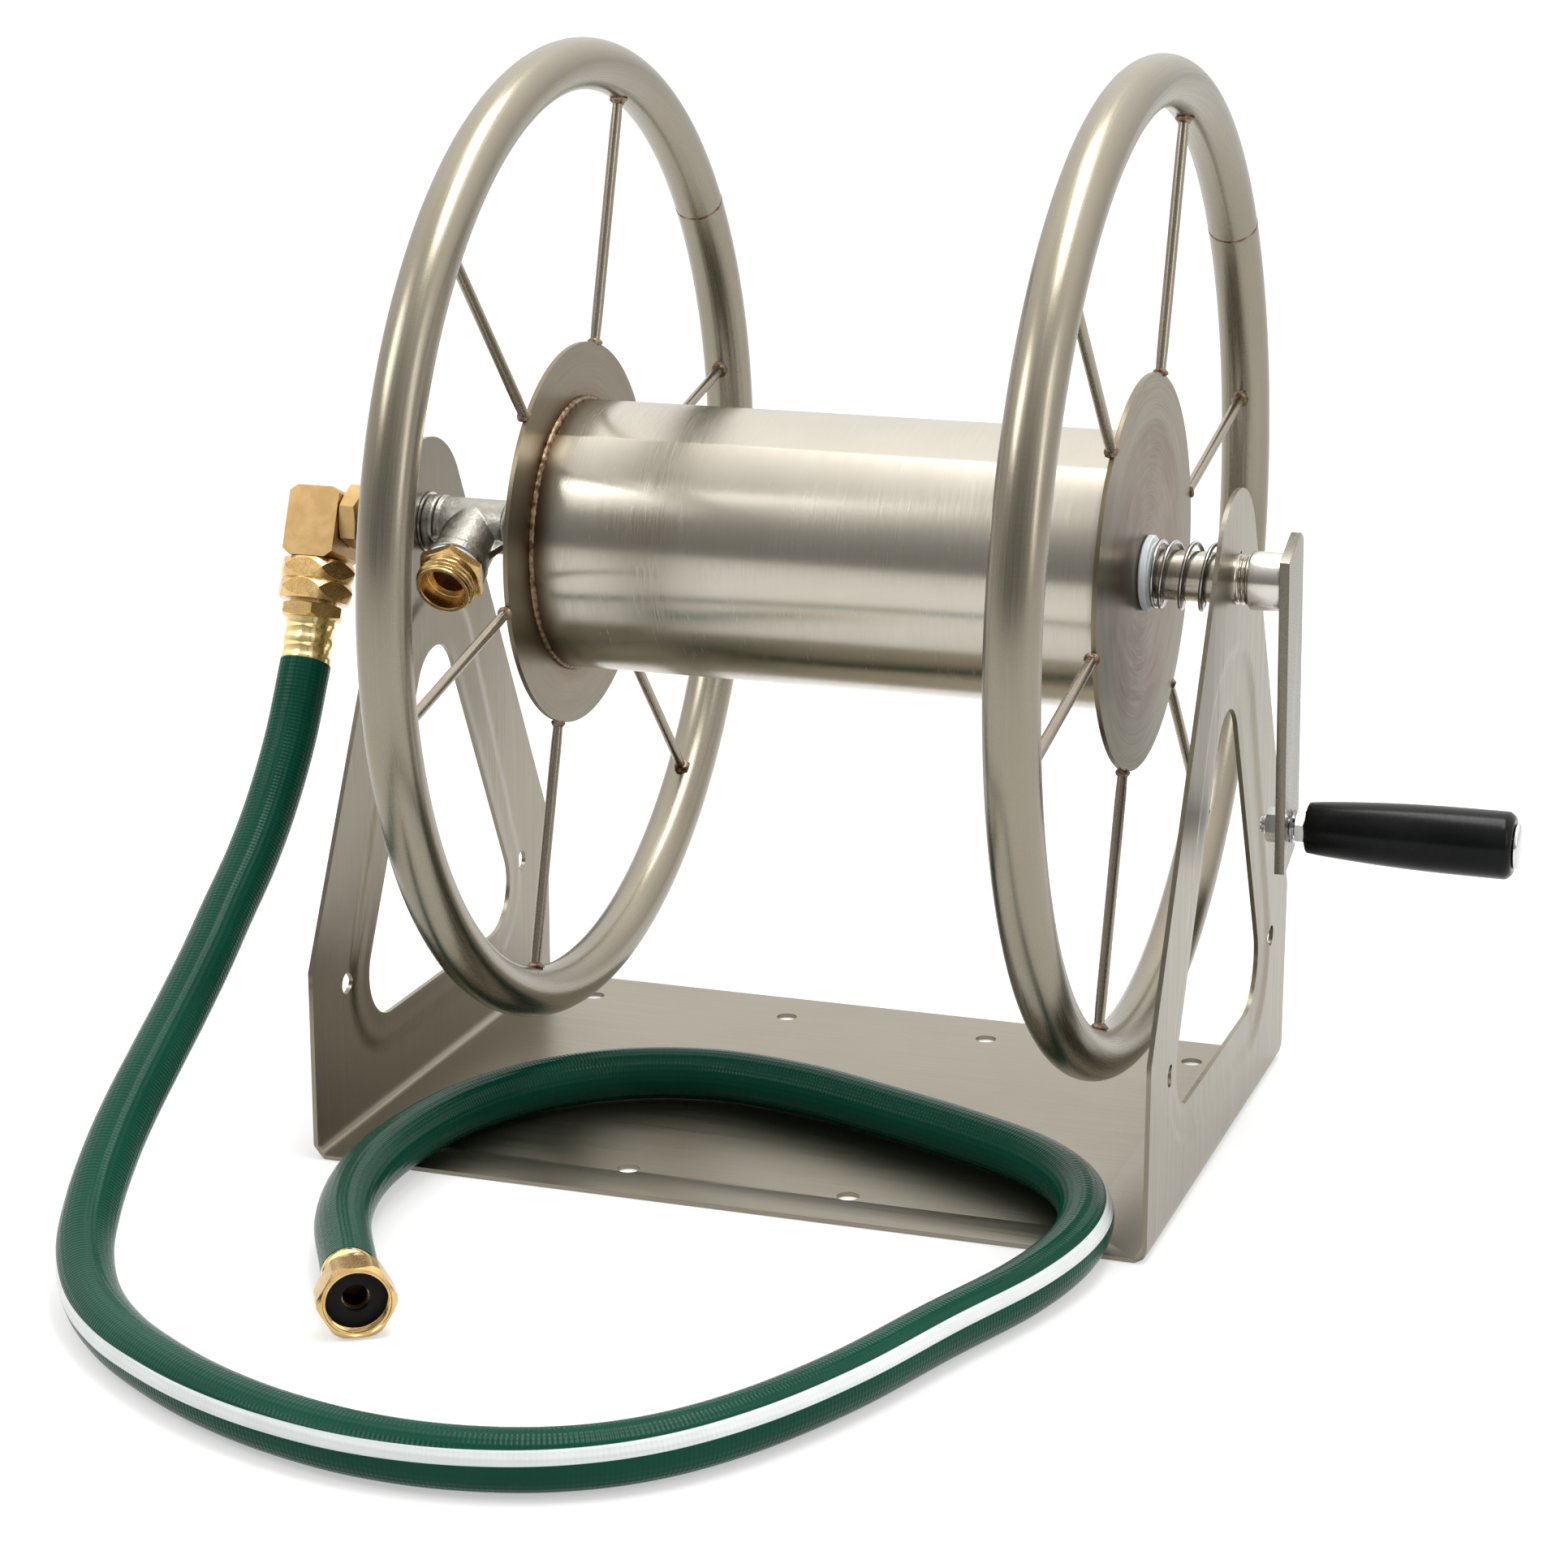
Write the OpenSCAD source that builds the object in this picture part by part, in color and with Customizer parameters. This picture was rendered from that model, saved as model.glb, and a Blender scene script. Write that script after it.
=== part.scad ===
/* [Base] */
// Width of the base along the axle, outside to outside
base_w = 368.6; // [350:0.1:400]
// Depth of the base, front to back
base_d = 265.6; // [250:0.1:300]
// Thickness of the bent sheet
sheet_t = 2; // [1.5:0.1:2.5]
// Outside radius of the bends between the base and the side plates
bend_r = 5; // [4:0.5:8]
// Diameter of the fixing holes
fix_hole_d = 9.5; // [6:0.1:11]
// Distance between the two outer columns of base holes
fix_outer_w = 296.1; // [280:0.1:320]
// Distance between the two inner columns of base holes
fix_inner_w = 98.7; // [80:0.1:140]
// Distance between the front and back rows of base holes
fix_row_d = 211; // [190:0.1:230]

/* [Side plates] */
// Height of the axle above the floor
axle_h = 254.5; // [250:0.1:270]
// Radius of the rounded top of a side plate
cap_r = 38; // [34:0.5:44]
// Height where the upright edge turns into the slope
kink_h = 84; // [60:1:100]
// Height of the two fixing holes in a side plate
side_hole_h = 69; // [60:1:80]
// Distance between the two fixing holes in a side plate
side_hole_w = 198; // [190:1:210]
// Distance from the top of the window to the edge of the pressed panel
press_margin_top = 24; // [12:1:26]
// Distance from the foot of the window to the edge of the pressed panel
press_margin_foot = 14; // [10:0.5:14]
// Depth of the pressed panel
press_depth = 1.4; // [0.8:0.1:1.7]

/* [Reel] */
// Radius of the rim's centreline
rim_r = 203.2; // [195:0.1:206]
// Diameter of the rim's tube
rim_tube_d = 22.2; // [19:0.1:25]
// Distance between the middles of the two rims
rim_gap = 255; // [250:1:258]
// How far the middle of the reel sits to the right of the frame's middle
reel_shift = 16; // [14:0.5:17]
// Distance between the outer faces of the two hub discs
disc_gap = 256.6; // [254:0.1:258]
// Diameter of the drum
drum_d = 117.6; // [100:0.5:130]
// Diameter of a hub disc
disc_d = 167.4; // [150:0.1:180]
// Thickness of the drum and hub disc sheet
reel_sheet_t = 2; // [1.5:0.1:2.5]
// Number of spokes in each rim
spoke_count = 6; // [4:1:8]
// Diameter of a spoke
spoke_d = 4.8; // [4:0.1:7]
// Angle of the first spoke above the horizontal
spoke_phase = 13; // [0:1:59]

/* [Axle] */
// Outside diameter of the axle pipe
axle_d = 21.3; // [20.9:0.1:21.5]
// Bore of the axle pipe
axle_bore_d = 15.8; // [12:0.1:17]
// Radial clearance where the axle runs in a side plate
run_clearance = 0.08; // [0.02:0.01:0.1]
// Outside diameter of the spring
spring_d = 29.6; // [28:0.1:32]
// Diameter of the spring's wire
spring_wire_d = 2; // [1.5:0.1:2.4]

/* [Water path] */
// How far the supply hose port swings forward from straight down
port_swing = 22; // [0:1:30]
// How far the outlet points below the horizontal
outlet_drop = 27; // [0:1:30]
// Outside diameter of the hose thread on the outlet
outlet_thread_d = 26.8; // [26:0.1:27.2]
// Outside diameter of the supply hose
hose_d = 23; // [20:0.5:23]

/* [Crank] */
// Distance from the axle to the grip's bolt
crank_r = 107.6; // [95:0.1:120]
// Angle that the crank leans back from straight down
crank_lean = 5; // [0:1:15]
// Width of the crank arm
arm_w = 29; // [26:0.5:32]
// Thickness of the crank arm
arm_t = 4.2; // [3:0.1:5]
// Length of the grip
grip_len = 87; // [75:1:95]
// Largest diameter of the grip
grip_d = 28.6; // [26:0.1:32]

/* [Hidden] */

$fn = 96;
steel = [0.72, 0.70, 0.66];
bright_steel = [0.80, 0.80, 0.78];
brass = [0.80, 0.62, 0.30];
dull_brass = [0.74, 0.58, 0.34];
hose_green = [0.02, 0.28, 0.20];
black = [0.04, 0.04, 0.04];
white = [0.92, 0.92, 0.90];

// Space left between a turning part and the frame, along the axle
side_gap = 0.3;

// Faces of the frame and the reel along X
plate_out = base_w / 2;
plate_in = plate_out - sheet_t;
rim_left_x = reel_shift - rim_gap / 2;
rim_right_x = reel_shift + rim_gap / 2;
disc_left_x = rim_left_x + 0.1;
disc_right_x = disc_left_x + disc_gap;
drum_left_x = disc_left_x + reel_sheet_t;
drum_right_x = disc_right_x - reel_sheet_t;

// Side plate window: a triangle with three round corners, as [y, z, radius]
window = [[0, 176.4, 21.6], [-57.8, 65.5, 22], [57.8, 65.5, 22]];
oil_hole_d = 3;
oil_hole = [6.2, 263.8];

// Pipe threads: the part that screws in, and the socket it screws into
thread_r = 10.4;
socket_r = 10.45;

// Swivel
block_x = -233;
block_w = 24.2;
block_d = 29;
block_top = 10.6;
block_foot = 21.2;
block_cut = [3.6, 2.7];
stem_spigot_r = 8;
stem_hex_af = 25.4;
stem_hex_len = 8;
water_r = 4.5;
stem_hex_x = block_x + block_w / 2 + 0.3;
stem_tip_x = block_x - block_w / 2 + 4;
seal_wire_r = 1.2;
end_screw_r = 3;
seal_x = [block_x - 5.7, block_x + 7];

// Port fittings, as distances down from the middle of the swivel block
port_nut_af = 31.6;
port_nut_top = block_foot + 0.4;
port_nut_end = 40;
tail_hex_af = 26;
tail_hex_top = 41.6;
tail_hex_end = 48;
ferrule_end = 68;

// Tee
tee_x = -158.3;
tee_half = 22.9;
tee_r = 11.9;
tee_band_r = 12.5;
tee_band_w = 5;
branch_r = 13;
branch_band_r = 14.3;
branch_len = 31.2;
stem_thread_end = tee_x - tee_half + 12;
axle_thread_start = tee_x + tee_half - 12;

// Outlet adapter, as distances along the branch from the axle
gasket_end = branch_len + 1.6;
outlet_hex_end = gasket_end + 4.2;
outlet_neck_end = outlet_hex_end + 1.8;
outlet_len = 46;
outlet_mouth = 8;

// Right side of the axle
washer_x = disc_right_x + 0.2;
washer_t = 4;
washer_d = 32;
spring_x = washer_x + washer_t;
spring_end = plate_in - side_gap;
collar_x = 190.5;
collar_end = 205;
collar_r = 12.3;
arm_x = collar_end;
arm_end = arm_x + arm_t;

// Grip and its bolt
bolt_r = 4;
lock_washer_t = 2.2;
jam_nut_t = 4;
nut_af = 13;
nut_t = 6.3;
grip_x = arm_end + lock_washer_t + jam_nut_t + 0.8;
grip_small_r = 10.9;
grip_chamfer = 2.8;
head_r = 9.7;
head_rise = 3.4;

// Hose route, from the ferrule on the swivel to the coupling at its far end
hose_path = [
    [-233, -25.5, 191.4], [-232.5, -44, 162], [-232, -66, 137], [-231, -90, 118],
    [-230, -117, 101.5], [-228, -142, 88], [-226, -169, 75], [-224, -197, 62.5],
    [-221.5, -225, 50.5], [-218, -250, 39.5], [-212, -276, 28.5], [-202, -302, 19.5],
    [-184, -329, 13.5], [-159, -354, 11.6], [-130, -375, 11.6], [-101, -391, 11.6],
    [-69, -403, 11.6], [-34, -410, 11.6], [2, -409, 11.6], [36, -399, 11.6],
    [65, -379, 11.6], [90, -347, 11.6], [112, -303, 11.6], [131, -250, 11.6],
    [150, -200, 11.7], [159, -161, 12.9], [157.5, -127, 13.8], [145, -96, 13.8],
    [122, -71, 13.8], [88, -52, 13.8], [46, -34, 13.8], [1, -18, 13.8],
    [-43, -13, 13.8], [-82.5, -25.5, 13.8], [-113, -53, 13.8], [-132.5, -91, 13.8],
    [-140.5, -136, 14], [-138.5, -182, 14.6], [-125, -229, 15.2], [-98.9, -278.6, 15.2]
];
hose_sides = 12;

// Coupling at the far end: its face, and the direction it faces
coupling_face = [-84, -303.7, 15.2];
coupling_turn = 31;
coupling_dip = 0;
coupling_len = 29;
coupling_nut_len = 14;
coupling_af = 28.8;
coupling_corner_r = 15.8;
thread_depth = 5.5;
washer_face = 5.6;
tail_face = 8.6;
tail_bore = 5.1;

// ---- Helpers -------------------------------------------------------------

// Places children on the axle, with +Z turned to +X, starting at x
module on_axle(x) {
    translate([x, 0, axle_h]) rotate([0, 90, 0]) children();
}

// Places children at the swivel block's middle, with +Z along the supply port
module on_port() {
    translate([block_x, 0, axle_h]) rotate([180 - port_swing, 0, 0]) children();
}

// Places children at the tee's middle, with +Z along the outlet
module on_outlet() {
    translate([tee_x, 0, axle_h]) rotate([90 + outlet_drop, 0, 0]) children();
}

// Places children at the crank's grip axis, with +Z turned to +X, starting at x
module on_grip(x) {
    translate([x, crank_r * sin(crank_lean), axle_h - crank_r * cos(crank_lean)])
        rotate([0, 90, 0]) children();
}

// Places children at the coupling's face, with +Z pointing out of it
module on_coupling() {
    translate(coupling_face)
        rotate([0, 0, coupling_turn]) rotate([90 + coupling_dip, 0, 0]) children();
}

module ring(outer, inner, h) {
    difference() {
        cylinder(r = outer, h = h);
        translate([0, 0, -1]) cylinder(r = inner, h = h + 2);
    }
}

// Six-sided prism with its corners turned down by a cone at one or both ends
module hex_prism(af, h, chamfer_low = true, chamfer_high = true) {
    corner_r = af / sqrt(3);
    drop = corner_r - af / 2;
    intersection() {
        cylinder(r = corner_r, h = h, $fn = 6);
        rotate_extrude() polygon([
            [0, 0],
            [chamfer_low ? af / 2 : corner_r + 1, 0],
            [corner_r + 0.01, chamfer_low ? drop : 0],
            [corner_r + 0.01, chamfer_high ? h - drop : h],
            [chamfer_high ? af / 2 : corner_r + 1, h],
            [0, h]
        ]);
    }
}

// Straight outer tangent of two circles [x, y, r], on the right of the line from a to b
function tangent(a, b) =
    let (
        d = [b[0] - a[0], b[1] - a[1]],
        len = norm(d),
        along = atan2(d[1], d[0]),
        turn = along - 90 + asin((a[2] - b[2]) / len),
        n = [cos(turn), sin(turn)]
    )
    [[a[0] + a[2] * n[0], a[1] + a[2] * n[1]], [b[0] + b[2] * n[0], b[1] + b[2] * n[1]]];

// Outline of three circles with a belt round them, each grown by its margin
module round_triangle(circles, margins = [0, 0, 0]) {
    grown = [for (i = [0:2]) circles[i] + [0, 0, margins[i]]];
    polygon([for (i = [0:2]) each tangent(grown[i], grown[(i + 1) % 3])]);
    for (c = grown) translate([c[0], c[1]]) circle(r = c[2]);
}

// Side plate outline, as [y, z]: upright edges, slopes and the round top
module side_outline() {
    half = base_d / 2;
    from_kink = norm([half, axle_h - kink_h]);
    touch = 90 - atan2(axle_h - kink_h, half) - asin(cap_r / from_kink);
    edge_y = cap_r * cos(touch);
    edge_z = axle_h + cap_r * sin(touch);
    polygon([
        [-half, bend_r], [half, bend_r], [half, kink_h], [edge_y, edge_z],
        [-edge_y, edge_z], [-half, kink_h]
    ]);
    translate([0, axle_h]) circle(r = cap_r);
}

// Flat sheet in the YZ plane: a 2-D outline in [y, z], from x, t thick
module sheet_yz(x, t) {
    translate([x, 0, 0]) rotate([90, 0, 90]) linear_extrude(t) children();
}

// Point on a smooth curve through four points, t from 0 to 1 between the middle two
function curve_point(a, b, c, d, t) =
    0.5 * (2 * b + (c - a) * t + (2 * a - 5 * b + 4 * c - d) * t * t
    + (3 * b - 3 * c + d - a) * t * t * t);

function smooth_path(p, steps) =
    let (last = len(p) - 1)
    concat(
        [for (i = [0:last - 1], k = [0:steps - 1])
            curve_point(
                i > 0 ? p[i - 1] : 2 * p[0] - p[1], p[i], p[i + 1],
                i < last - 1 ? p[i + 2] : 2 * p[last] - p[last - 1], k / steps)],
        [p[last]]
    );

function unit(v) = v / norm(v);

// Tube swept along a path, with the given directions at its two ends
module swept_tube(path, r, sides, start_dir, end_dir) {
    last = len(path) - 1;
    dirs = [for (i = [0:last])
        i == 0 ? start_dir : i == last ? end_dir : unit(path[i + 1] - path[i - 1])];
    points = [for (i = [0:last])
        let (side = unit(cross(dirs[i], [0, 0, 1])), up = cross(side, dirs[i]))
        for (k = [0:sides - 1])
            path[i] + r * (cos(360 * k / sides) * side + sin(360 * k / sides) * up)];
    walls = [for (i = [0:last - 1], k = [0:sides - 1])
        let (n = (k + 1) % sides)
        [i * sides + k, (i + 1) * sides + k, (i + 1) * sides + n, i * sides + n]];
    start_cap = [[for (k = [0:sides - 1]) k]];
    end_cap = [[for (k = [sides - 1:-1:0]) last * sides + k]];
    polyhedron(points, concat(start_cap, walls, end_cap), convexity = 10);
}

// ---- Frame ---------------------------------------------------------------

module base_plate() {
    color(steel) difference() {
        translate([-plate_out + bend_r, -base_d / 2, 0]) cube([base_w - 2 * bend_r, base_d, sheet_t]);
        for (x = [-fix_outer_w / 2, -fix_inner_w / 2, fix_inner_w / 2, fix_outer_w / 2])
            for (y = [-fix_row_d / 2, fix_row_d / 2])
                translate([x, y, -1]) cylinder(d = fix_hole_d, h = sheet_t + 2);
    }
}

// Right side plate; the left one is its mirror image without the oil hole
module side_plate() {
    pressed_x = plate_in - press_depth;
    margins = [press_margin_top, press_margin_foot, press_margin_foot];
    difference() {
        union() {
            difference() {
                sheet_yz(plate_in, sheet_t) side_outline();
                sheet_yz(plate_out - press_depth, sheet_t) round_triangle(window, margins);
            }
            sheet_yz(pressed_x, sheet_t) round_triangle(window, margins);
            intersection() {
                translate([plate_out - bend_r, base_d / 2, bend_r]) rotate([90, 0, 0])
                    ring(bend_r, bend_r - sheet_t, base_d);
                translate([plate_out - bend_r, -base_d, 0]) cube([bend_r, 2 * base_d, bend_r]);
            }
        }
        sheet_yz(plate_in - 10, 20) round_triangle(window);
        on_axle(plate_in - 5) cylinder(r = axle_d / 2 + run_clearance, h = 10);
        for (y = [-side_hole_w / 2, side_hole_w / 2])
            translate([plate_in - 5, y, side_hole_h]) rotate([0, 90, 0]) cylinder(d = fix_hole_d, h = 10);
    }
}

module side_plate_left() {
    color(steel) mirror([1, 0, 0]) side_plate();
}

module side_plate_right() {
    color(steel) difference() {
        side_plate();
        translate([plate_in - 5, oil_hole[0], oil_hole[1]]) rotate([0, 90, 0])
            cylinder(d = oil_hole_d, h = 10);
    }
}

// ---- Swivel and supply hose ----------------------------------------------

module swivel_body() {
    half = block_w / 2;
    cut = block_cut;
    color(dull_brass) difference() {
        on_port() rotate([90, 0, 0]) linear_extrude(block_d, center = true) polygon([
            [-half, cut[1] - block_top], [cut[0] - half, -block_top],
            [half - cut[0], -block_top], [half, cut[1] - block_top],
            [half, block_foot - cut[1]], [half - cut[0], block_foot],
            [cut[0] - half, block_foot], [-half, block_foot - cut[1]]
        ]);
        on_axle(stem_tip_x - 1) cylinder(r = stem_spigot_r + run_clearance, h = 2 * block_w);
        on_axle(block_x - half - 1) cylinder(r = end_screw_r, h = 10);
        on_port() cylinder(r = water_r, h = block_foot + 1);
    }
}

// Screw in the closed end of the block, with a low round head
module swivel_end_screw() {
    color(black) on_axle(block_x - block_w / 2) {
        mirror([0, 0, 1]) cylinder(r = 4.2, h = 2.6);
        cylinder(r = end_screw_r - 0.02, h = 2.8);
    }
}

// Double hexagon that joins the hose tail to the swivel block
module port_nut() {
    nut_len = port_nut_end - port_nut_top;
    color(brass) on_port() difference() {
        translate([0, 0, port_nut_top]) {
            hex_prism(port_nut_af, nut_len / 2 + 0.01);
            translate([0, 0, nut_len / 2]) hex_prism(port_nut_af, nut_len / 2);
        }
        cylinder(r = thread_r + 0.05, h = port_nut_end + 1);
    }
}

// Threaded hose tail with a thin hexagon; its barb ends inside the ferrule
module hose_tail() {
    color(brass) on_port() difference() {
        union() {
            translate([0, 0, port_nut_top + 2]) cylinder(r = thread_r, h = tail_hex_top - port_nut_top - 2);
            translate([0, 0, tail_hex_top]) hex_prism(tail_hex_af, tail_hex_end - tail_hex_top, false, false);
            translate([0, 0, tail_hex_end]) cylinder(r = 7.4, h = ferrule_end - tail_hex_end - 0.5);
        }
        cylinder(r = water_r, h = ferrule_end + 1);
    }
}

module inlet_ferrule() {
    color(brass) on_port() translate([0, 0, tail_hex_end + 0.05])
        ring(hose_d / 2 - 0.3, 7.45, ferrule_end - tail_hex_end - 0.05);
}

// The hose meets the two ferrules face to face
module hose() {
    start_dir = [0, -sin(port_swing), -cos(port_swing)];
    end_dir = [
        sin(coupling_turn) * cos(coupling_dip),
        -cos(coupling_turn) * cos(coupling_dip),
        -sin(coupling_dip)
    ];
    color(hose_green)
        swept_tube(smooth_path(hose_path, 2), hose_d / 2, hose_sides, start_dir, end_dir);
}

module coupling_ferrule() {
    color(brass) on_coupling() translate([0, 0, -coupling_len])
        ring(hose_d / 2 - 0.3, 7.45, 14);
}

// Flanged tail that holds the nut on the hose and seats the washer
module coupling_tail() {
    color(brass) on_coupling() difference() {
        union() {
            translate([0, 0, -coupling_len + 0.5]) cylinder(r = 7.4, h = coupling_len - tail_face - 1);
            translate([0, 0, -tail_face - 2.5]) cylinder(r = 11.8, h = 2.5);
        }
        translate([0, 0, -coupling_len]) cylinder(r = tail_bore, h = coupling_len);
    }
}

// Female hose coupling nut: a hexagon with its thread in the mouth and a lip behind the flange
module coupling_nut() {
    color(brass) on_coupling() difference() {
        intersection() {
            translate([0, 0, -coupling_nut_len]) hex_prism(coupling_af, coupling_nut_len);
            translate([0, 0, -coupling_nut_len]) cylinder(r = coupling_corner_r, h = coupling_nut_len);
        }
        translate([0, 0, -thread_depth]) cylinder(r = 13.1, h = thread_depth + 1);
        translate([0, 0, -tail_face - 2.6]) cylinder(r = 12.8, h = tail_face + 2);
        translate([0, 0, -20]) cylinder(r = 7.5, h = 10);
    }
}

module coupling_washer() {
    color(black) on_coupling() translate([0, 0, 0.05 - tail_face])
        ring(12.6, 5.5, tail_face - washer_face - 0.05);
}

// ---- Rotating water path -------------------------------------------------

module swivel_stem() {
    color(dull_brass) difference() {
        union() {
            on_axle(stem_tip_x) difference() {
                cylinder(r = stem_spigot_r, h = stem_hex_x - stem_tip_x);
                for (x = seal_x) translate([0, 0, x - stem_tip_x - seal_wire_r])
                    ring(stem_spigot_r + 1, stem_spigot_r - 2 * seal_wire_r, 2 * seal_wire_r);
            }
            on_axle(stem_hex_x) hex_prism(stem_hex_af, stem_hex_len, true, false);
            on_axle(stem_hex_x + stem_hex_len)
                cylinder(r = axle_d / 2, h = side_gap - plate_in - stem_hex_x - stem_hex_len);
            on_axle(side_gap - plate_in) cylinder(r = thread_r, h = stem_thread_end + plate_in - side_gap);
        }
        on_axle(stem_tip_x + 3) cylinder(r = water_r, h = 200);
        // Cross hole that lets the water in from the port
        translate([block_x, 0, axle_h]) rotate([-port_swing, 0, 0])
            translate([0, 0, -stem_spigot_r - 1]) cylinder(r = 3.6, h = 2 * stem_spigot_r + 2);
    }
}

module swivel_seals() {
    color(black) for (x = seal_x) on_axle(x)
        rotate_extrude() translate([stem_spigot_r - seal_wire_r + 0.02, 0]) circle(r = seal_wire_r - 0.03);
}

module thrust_washer() {
    color(bright_steel) on_axle(side_gap - plate_in)
        ring(13.6, thread_r + 0.02, tee_x - tee_half + plate_in - side_gap - 0.02);
}

module axle_tee() {
    color(bright_steel) difference() {
        union() {
            on_axle(tee_x - tee_half) cylinder(r = tee_r, h = 2 * tee_half);
            on_axle(tee_x - tee_half) cylinder(r = tee_band_r, h = tee_band_w);
            on_axle(tee_x + tee_half - tee_band_w) cylinder(r = tee_band_r, h = tee_band_w);
            on_outlet() cylinder(r = branch_r, h = branch_len);
            on_outlet() translate([0, 0, branch_len - tee_band_w])
                cylinder(r = branch_band_r, h = tee_band_w);
        }
        on_axle(tee_x - tee_half - 1) cylinder(r = socket_r, h = 13.05);
        on_axle(tee_x + tee_half - 12.05) cylinder(r = socket_r, h = 14);
        on_axle(tee_x - tee_half) cylinder(r = 9, h = 2 * tee_half);
        on_outlet() cylinder(r = 9, h = branch_len);
        on_outlet() translate([0, 0, branch_len - 12]) cylinder(r = socket_r, h = 14);
    }
}

module outlet_gasket() {
    color(white) on_outlet() translate([0, 0, branch_len + 0.02]) ring(13.6, socket_r + 0.1, 1.56);
}

// Male hose thread on a hexagon, with a stepped bore
module outlet_adapter() {
    color(brass) on_outlet() difference() {
        union() {
            translate([0, 0, branch_len - 11]) cylinder(r = thread_r, h = gasket_end - branch_len + 12);
            translate([0, 0, gasket_end]) hex_prism(27.4, outlet_hex_end - gasket_end, false, true);
            translate([0, 0, outlet_hex_end - 0.5]) cylinder(r = 12.7, h = outlet_neck_end - outlet_hex_end + 1);
            translate([0, 0, outlet_neck_end]) cylinder(d = outlet_thread_d, h = outlet_len - outlet_neck_end);
        }
        cylinder(r = 7.2, h = outlet_len + 1);
        translate([0, 0, outlet_len - outlet_mouth]) cylinder(r = 10.3, h = outlet_mouth + 1);
    }
}

// ---- Reel ----------------------------------------------------------------

// Pipe from the tee to the crank, closed next to the tee so that water leaves by the branch
module axle_pipe() {
    plug_len = 14;
    color(steel) difference() {
        union() {
            on_axle(axle_thread_start) cylinder(r = thread_r, h = 12.1);
            on_axle(tee_x + tee_half + 0.1)
                cylinder(d = axle_d, h = plate_out + side_gap - tee_x - tee_half - 0.1);
            on_axle(plate_out + side_gap)
                cylinder(r = thread_r, h = collar_end - 4 - plate_out - side_gap);
        }
        on_axle(axle_thread_start + plug_len) cylinder(d = axle_bore_d, h = 400);
    }
}

module drum() {
    color(steel) on_axle(drum_left_x)
        ring(drum_d / 2, drum_d / 2 - reel_sheet_t, drum_right_x - drum_left_x);
}

module hub_disc(x) {
    on_axle(x) ring(disc_d / 2, axle_d / 2 + 0.02, reel_sheet_t);
}

module hub_disc_left() {
    color(steel) hub_disc(disc_left_x);
}

module hub_disc_right() {
    color(steel) hub_disc(disc_right_x - reel_sheet_t);
}

module rim(x) {
    on_axle(x) rotate_extrude() translate([rim_r, 0]) circle(d = rim_tube_d);
}

module rim_left() {
    color(steel) rim(rim_left_x);
}

module rim_right() {
    color(steel) rim(rim_right_x);
}

// Spokes butt on the edge of the hub disc and on the inside of the rim
module spokes(x) {
    difference() {
        on_axle(x) for (i = [0:spoke_count - 1])
            rotate([0, 0, 90 + spoke_phase + i * 360 / spoke_count]) rotate([0, 90, 0])
                translate([0, 0, disc_d / 2 + 0.02])
                    cylinder(d = spoke_d, h = rim_r - disc_d / 2);
        rim(x);
    }
}

module spokes_left() {
    color(steel) spokes(rim_left_x);
}

module spokes_right() {
    color(steel) spokes(rim_right_x);
}

module nylon_washer() {
    color(white) on_axle(washer_x) ring(washer_d / 2, axle_d / 2 + 0.02, washer_t);
}

// Compression spring: closed end turns and open turns between
module axle_spring() {
    closed_turns = 1;
    open_turns = 3;
    closed_pitch = spring_wire_d + 0.2;
    first = spring_x + spring_wire_d / 2 + 0.02;
    final = spring_end - spring_wire_d / 2;
    open_pitch = (final - first - 2 * closed_turns * closed_pitch) / open_turns;
    turns = 2 * closed_turns + open_turns;
    steps_per_turn = 24;
    mean_r = (spring_d - spring_wire_d) / 2;
    path = [for (i = [0:turns * steps_per_turn])
        let (
            t = i / steps_per_turn,
            low = min(t, closed_turns),
            open = max(0, min(t - closed_turns, open_turns)),
            high = max(0, t - closed_turns - open_turns)
        )
        [mean_r * cos(360 * t), mean_r * sin(360 * t), (low + high) * closed_pitch + open * open_pitch]];
    color(bright_steel) on_axle(first) coil_sweep(path, spring_wire_d / 2, 8);
}

// Round wire swept along a coil about Z
module coil_sweep(path, r, sides) {
    last = len(path) - 1;
    points = [for (p = path)
        let (out = unit([p[0], p[1], 0]))
        for (k = [0:sides - 1])
            p + r * (cos(360 * k / sides) * out + sin(360 * k / sides) * [0, 0, 1])];
    walls = [for (i = [0:last - 1], k = [0:sides - 1])
        let (n = (k + 1) % sides)
        [i * sides + k, i * sides + n, (i + 1) * sides + n, (i + 1) * sides + k]];
    start_cap = [[for (k = [sides - 1:-1:0]) k]];
    end_cap = [[for (k = [0:sides - 1]) last * sides + k]];
    polyhedron(points, concat(start_cap, walls, end_cap), convexity = 10);
}

// ---- Crank ---------------------------------------------------------------

module crank_collar() {
    color(bright_steel) on_axle(collar_x) difference() {
        cylinder(r = collar_r, h = collar_end - collar_x);
        translate([0, 0, -1]) cylinder(r = socket_r, h = collar_end - collar_x - 3 + 1);
    }
}

// Flat bar with slanting ends; the outline is [across, up] about the axle
module crank_arm() {
    half = arm_w / 2;
    low = -crank_r;
    color(steel) difference() {
        translate([arm_x, 0, axle_h]) rotate([crank_lean, 0, 0]) rotate([90, 0, 90])
            linear_extrude(arm_t) polygon([
                [-half, 12.8], [4, 18.6], [9, 19.3], [half - 1, 16.5], [half, 13.5],
                [half, low + 0.5], [7.5, low - 12.5], [-half + 2.5, low - 17.8], [-half, low - 16.8]
            ]);
        on_grip(arm_x - 1) cylinder(r = bolt_r, h = arm_t + 2);
    }
}

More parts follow.
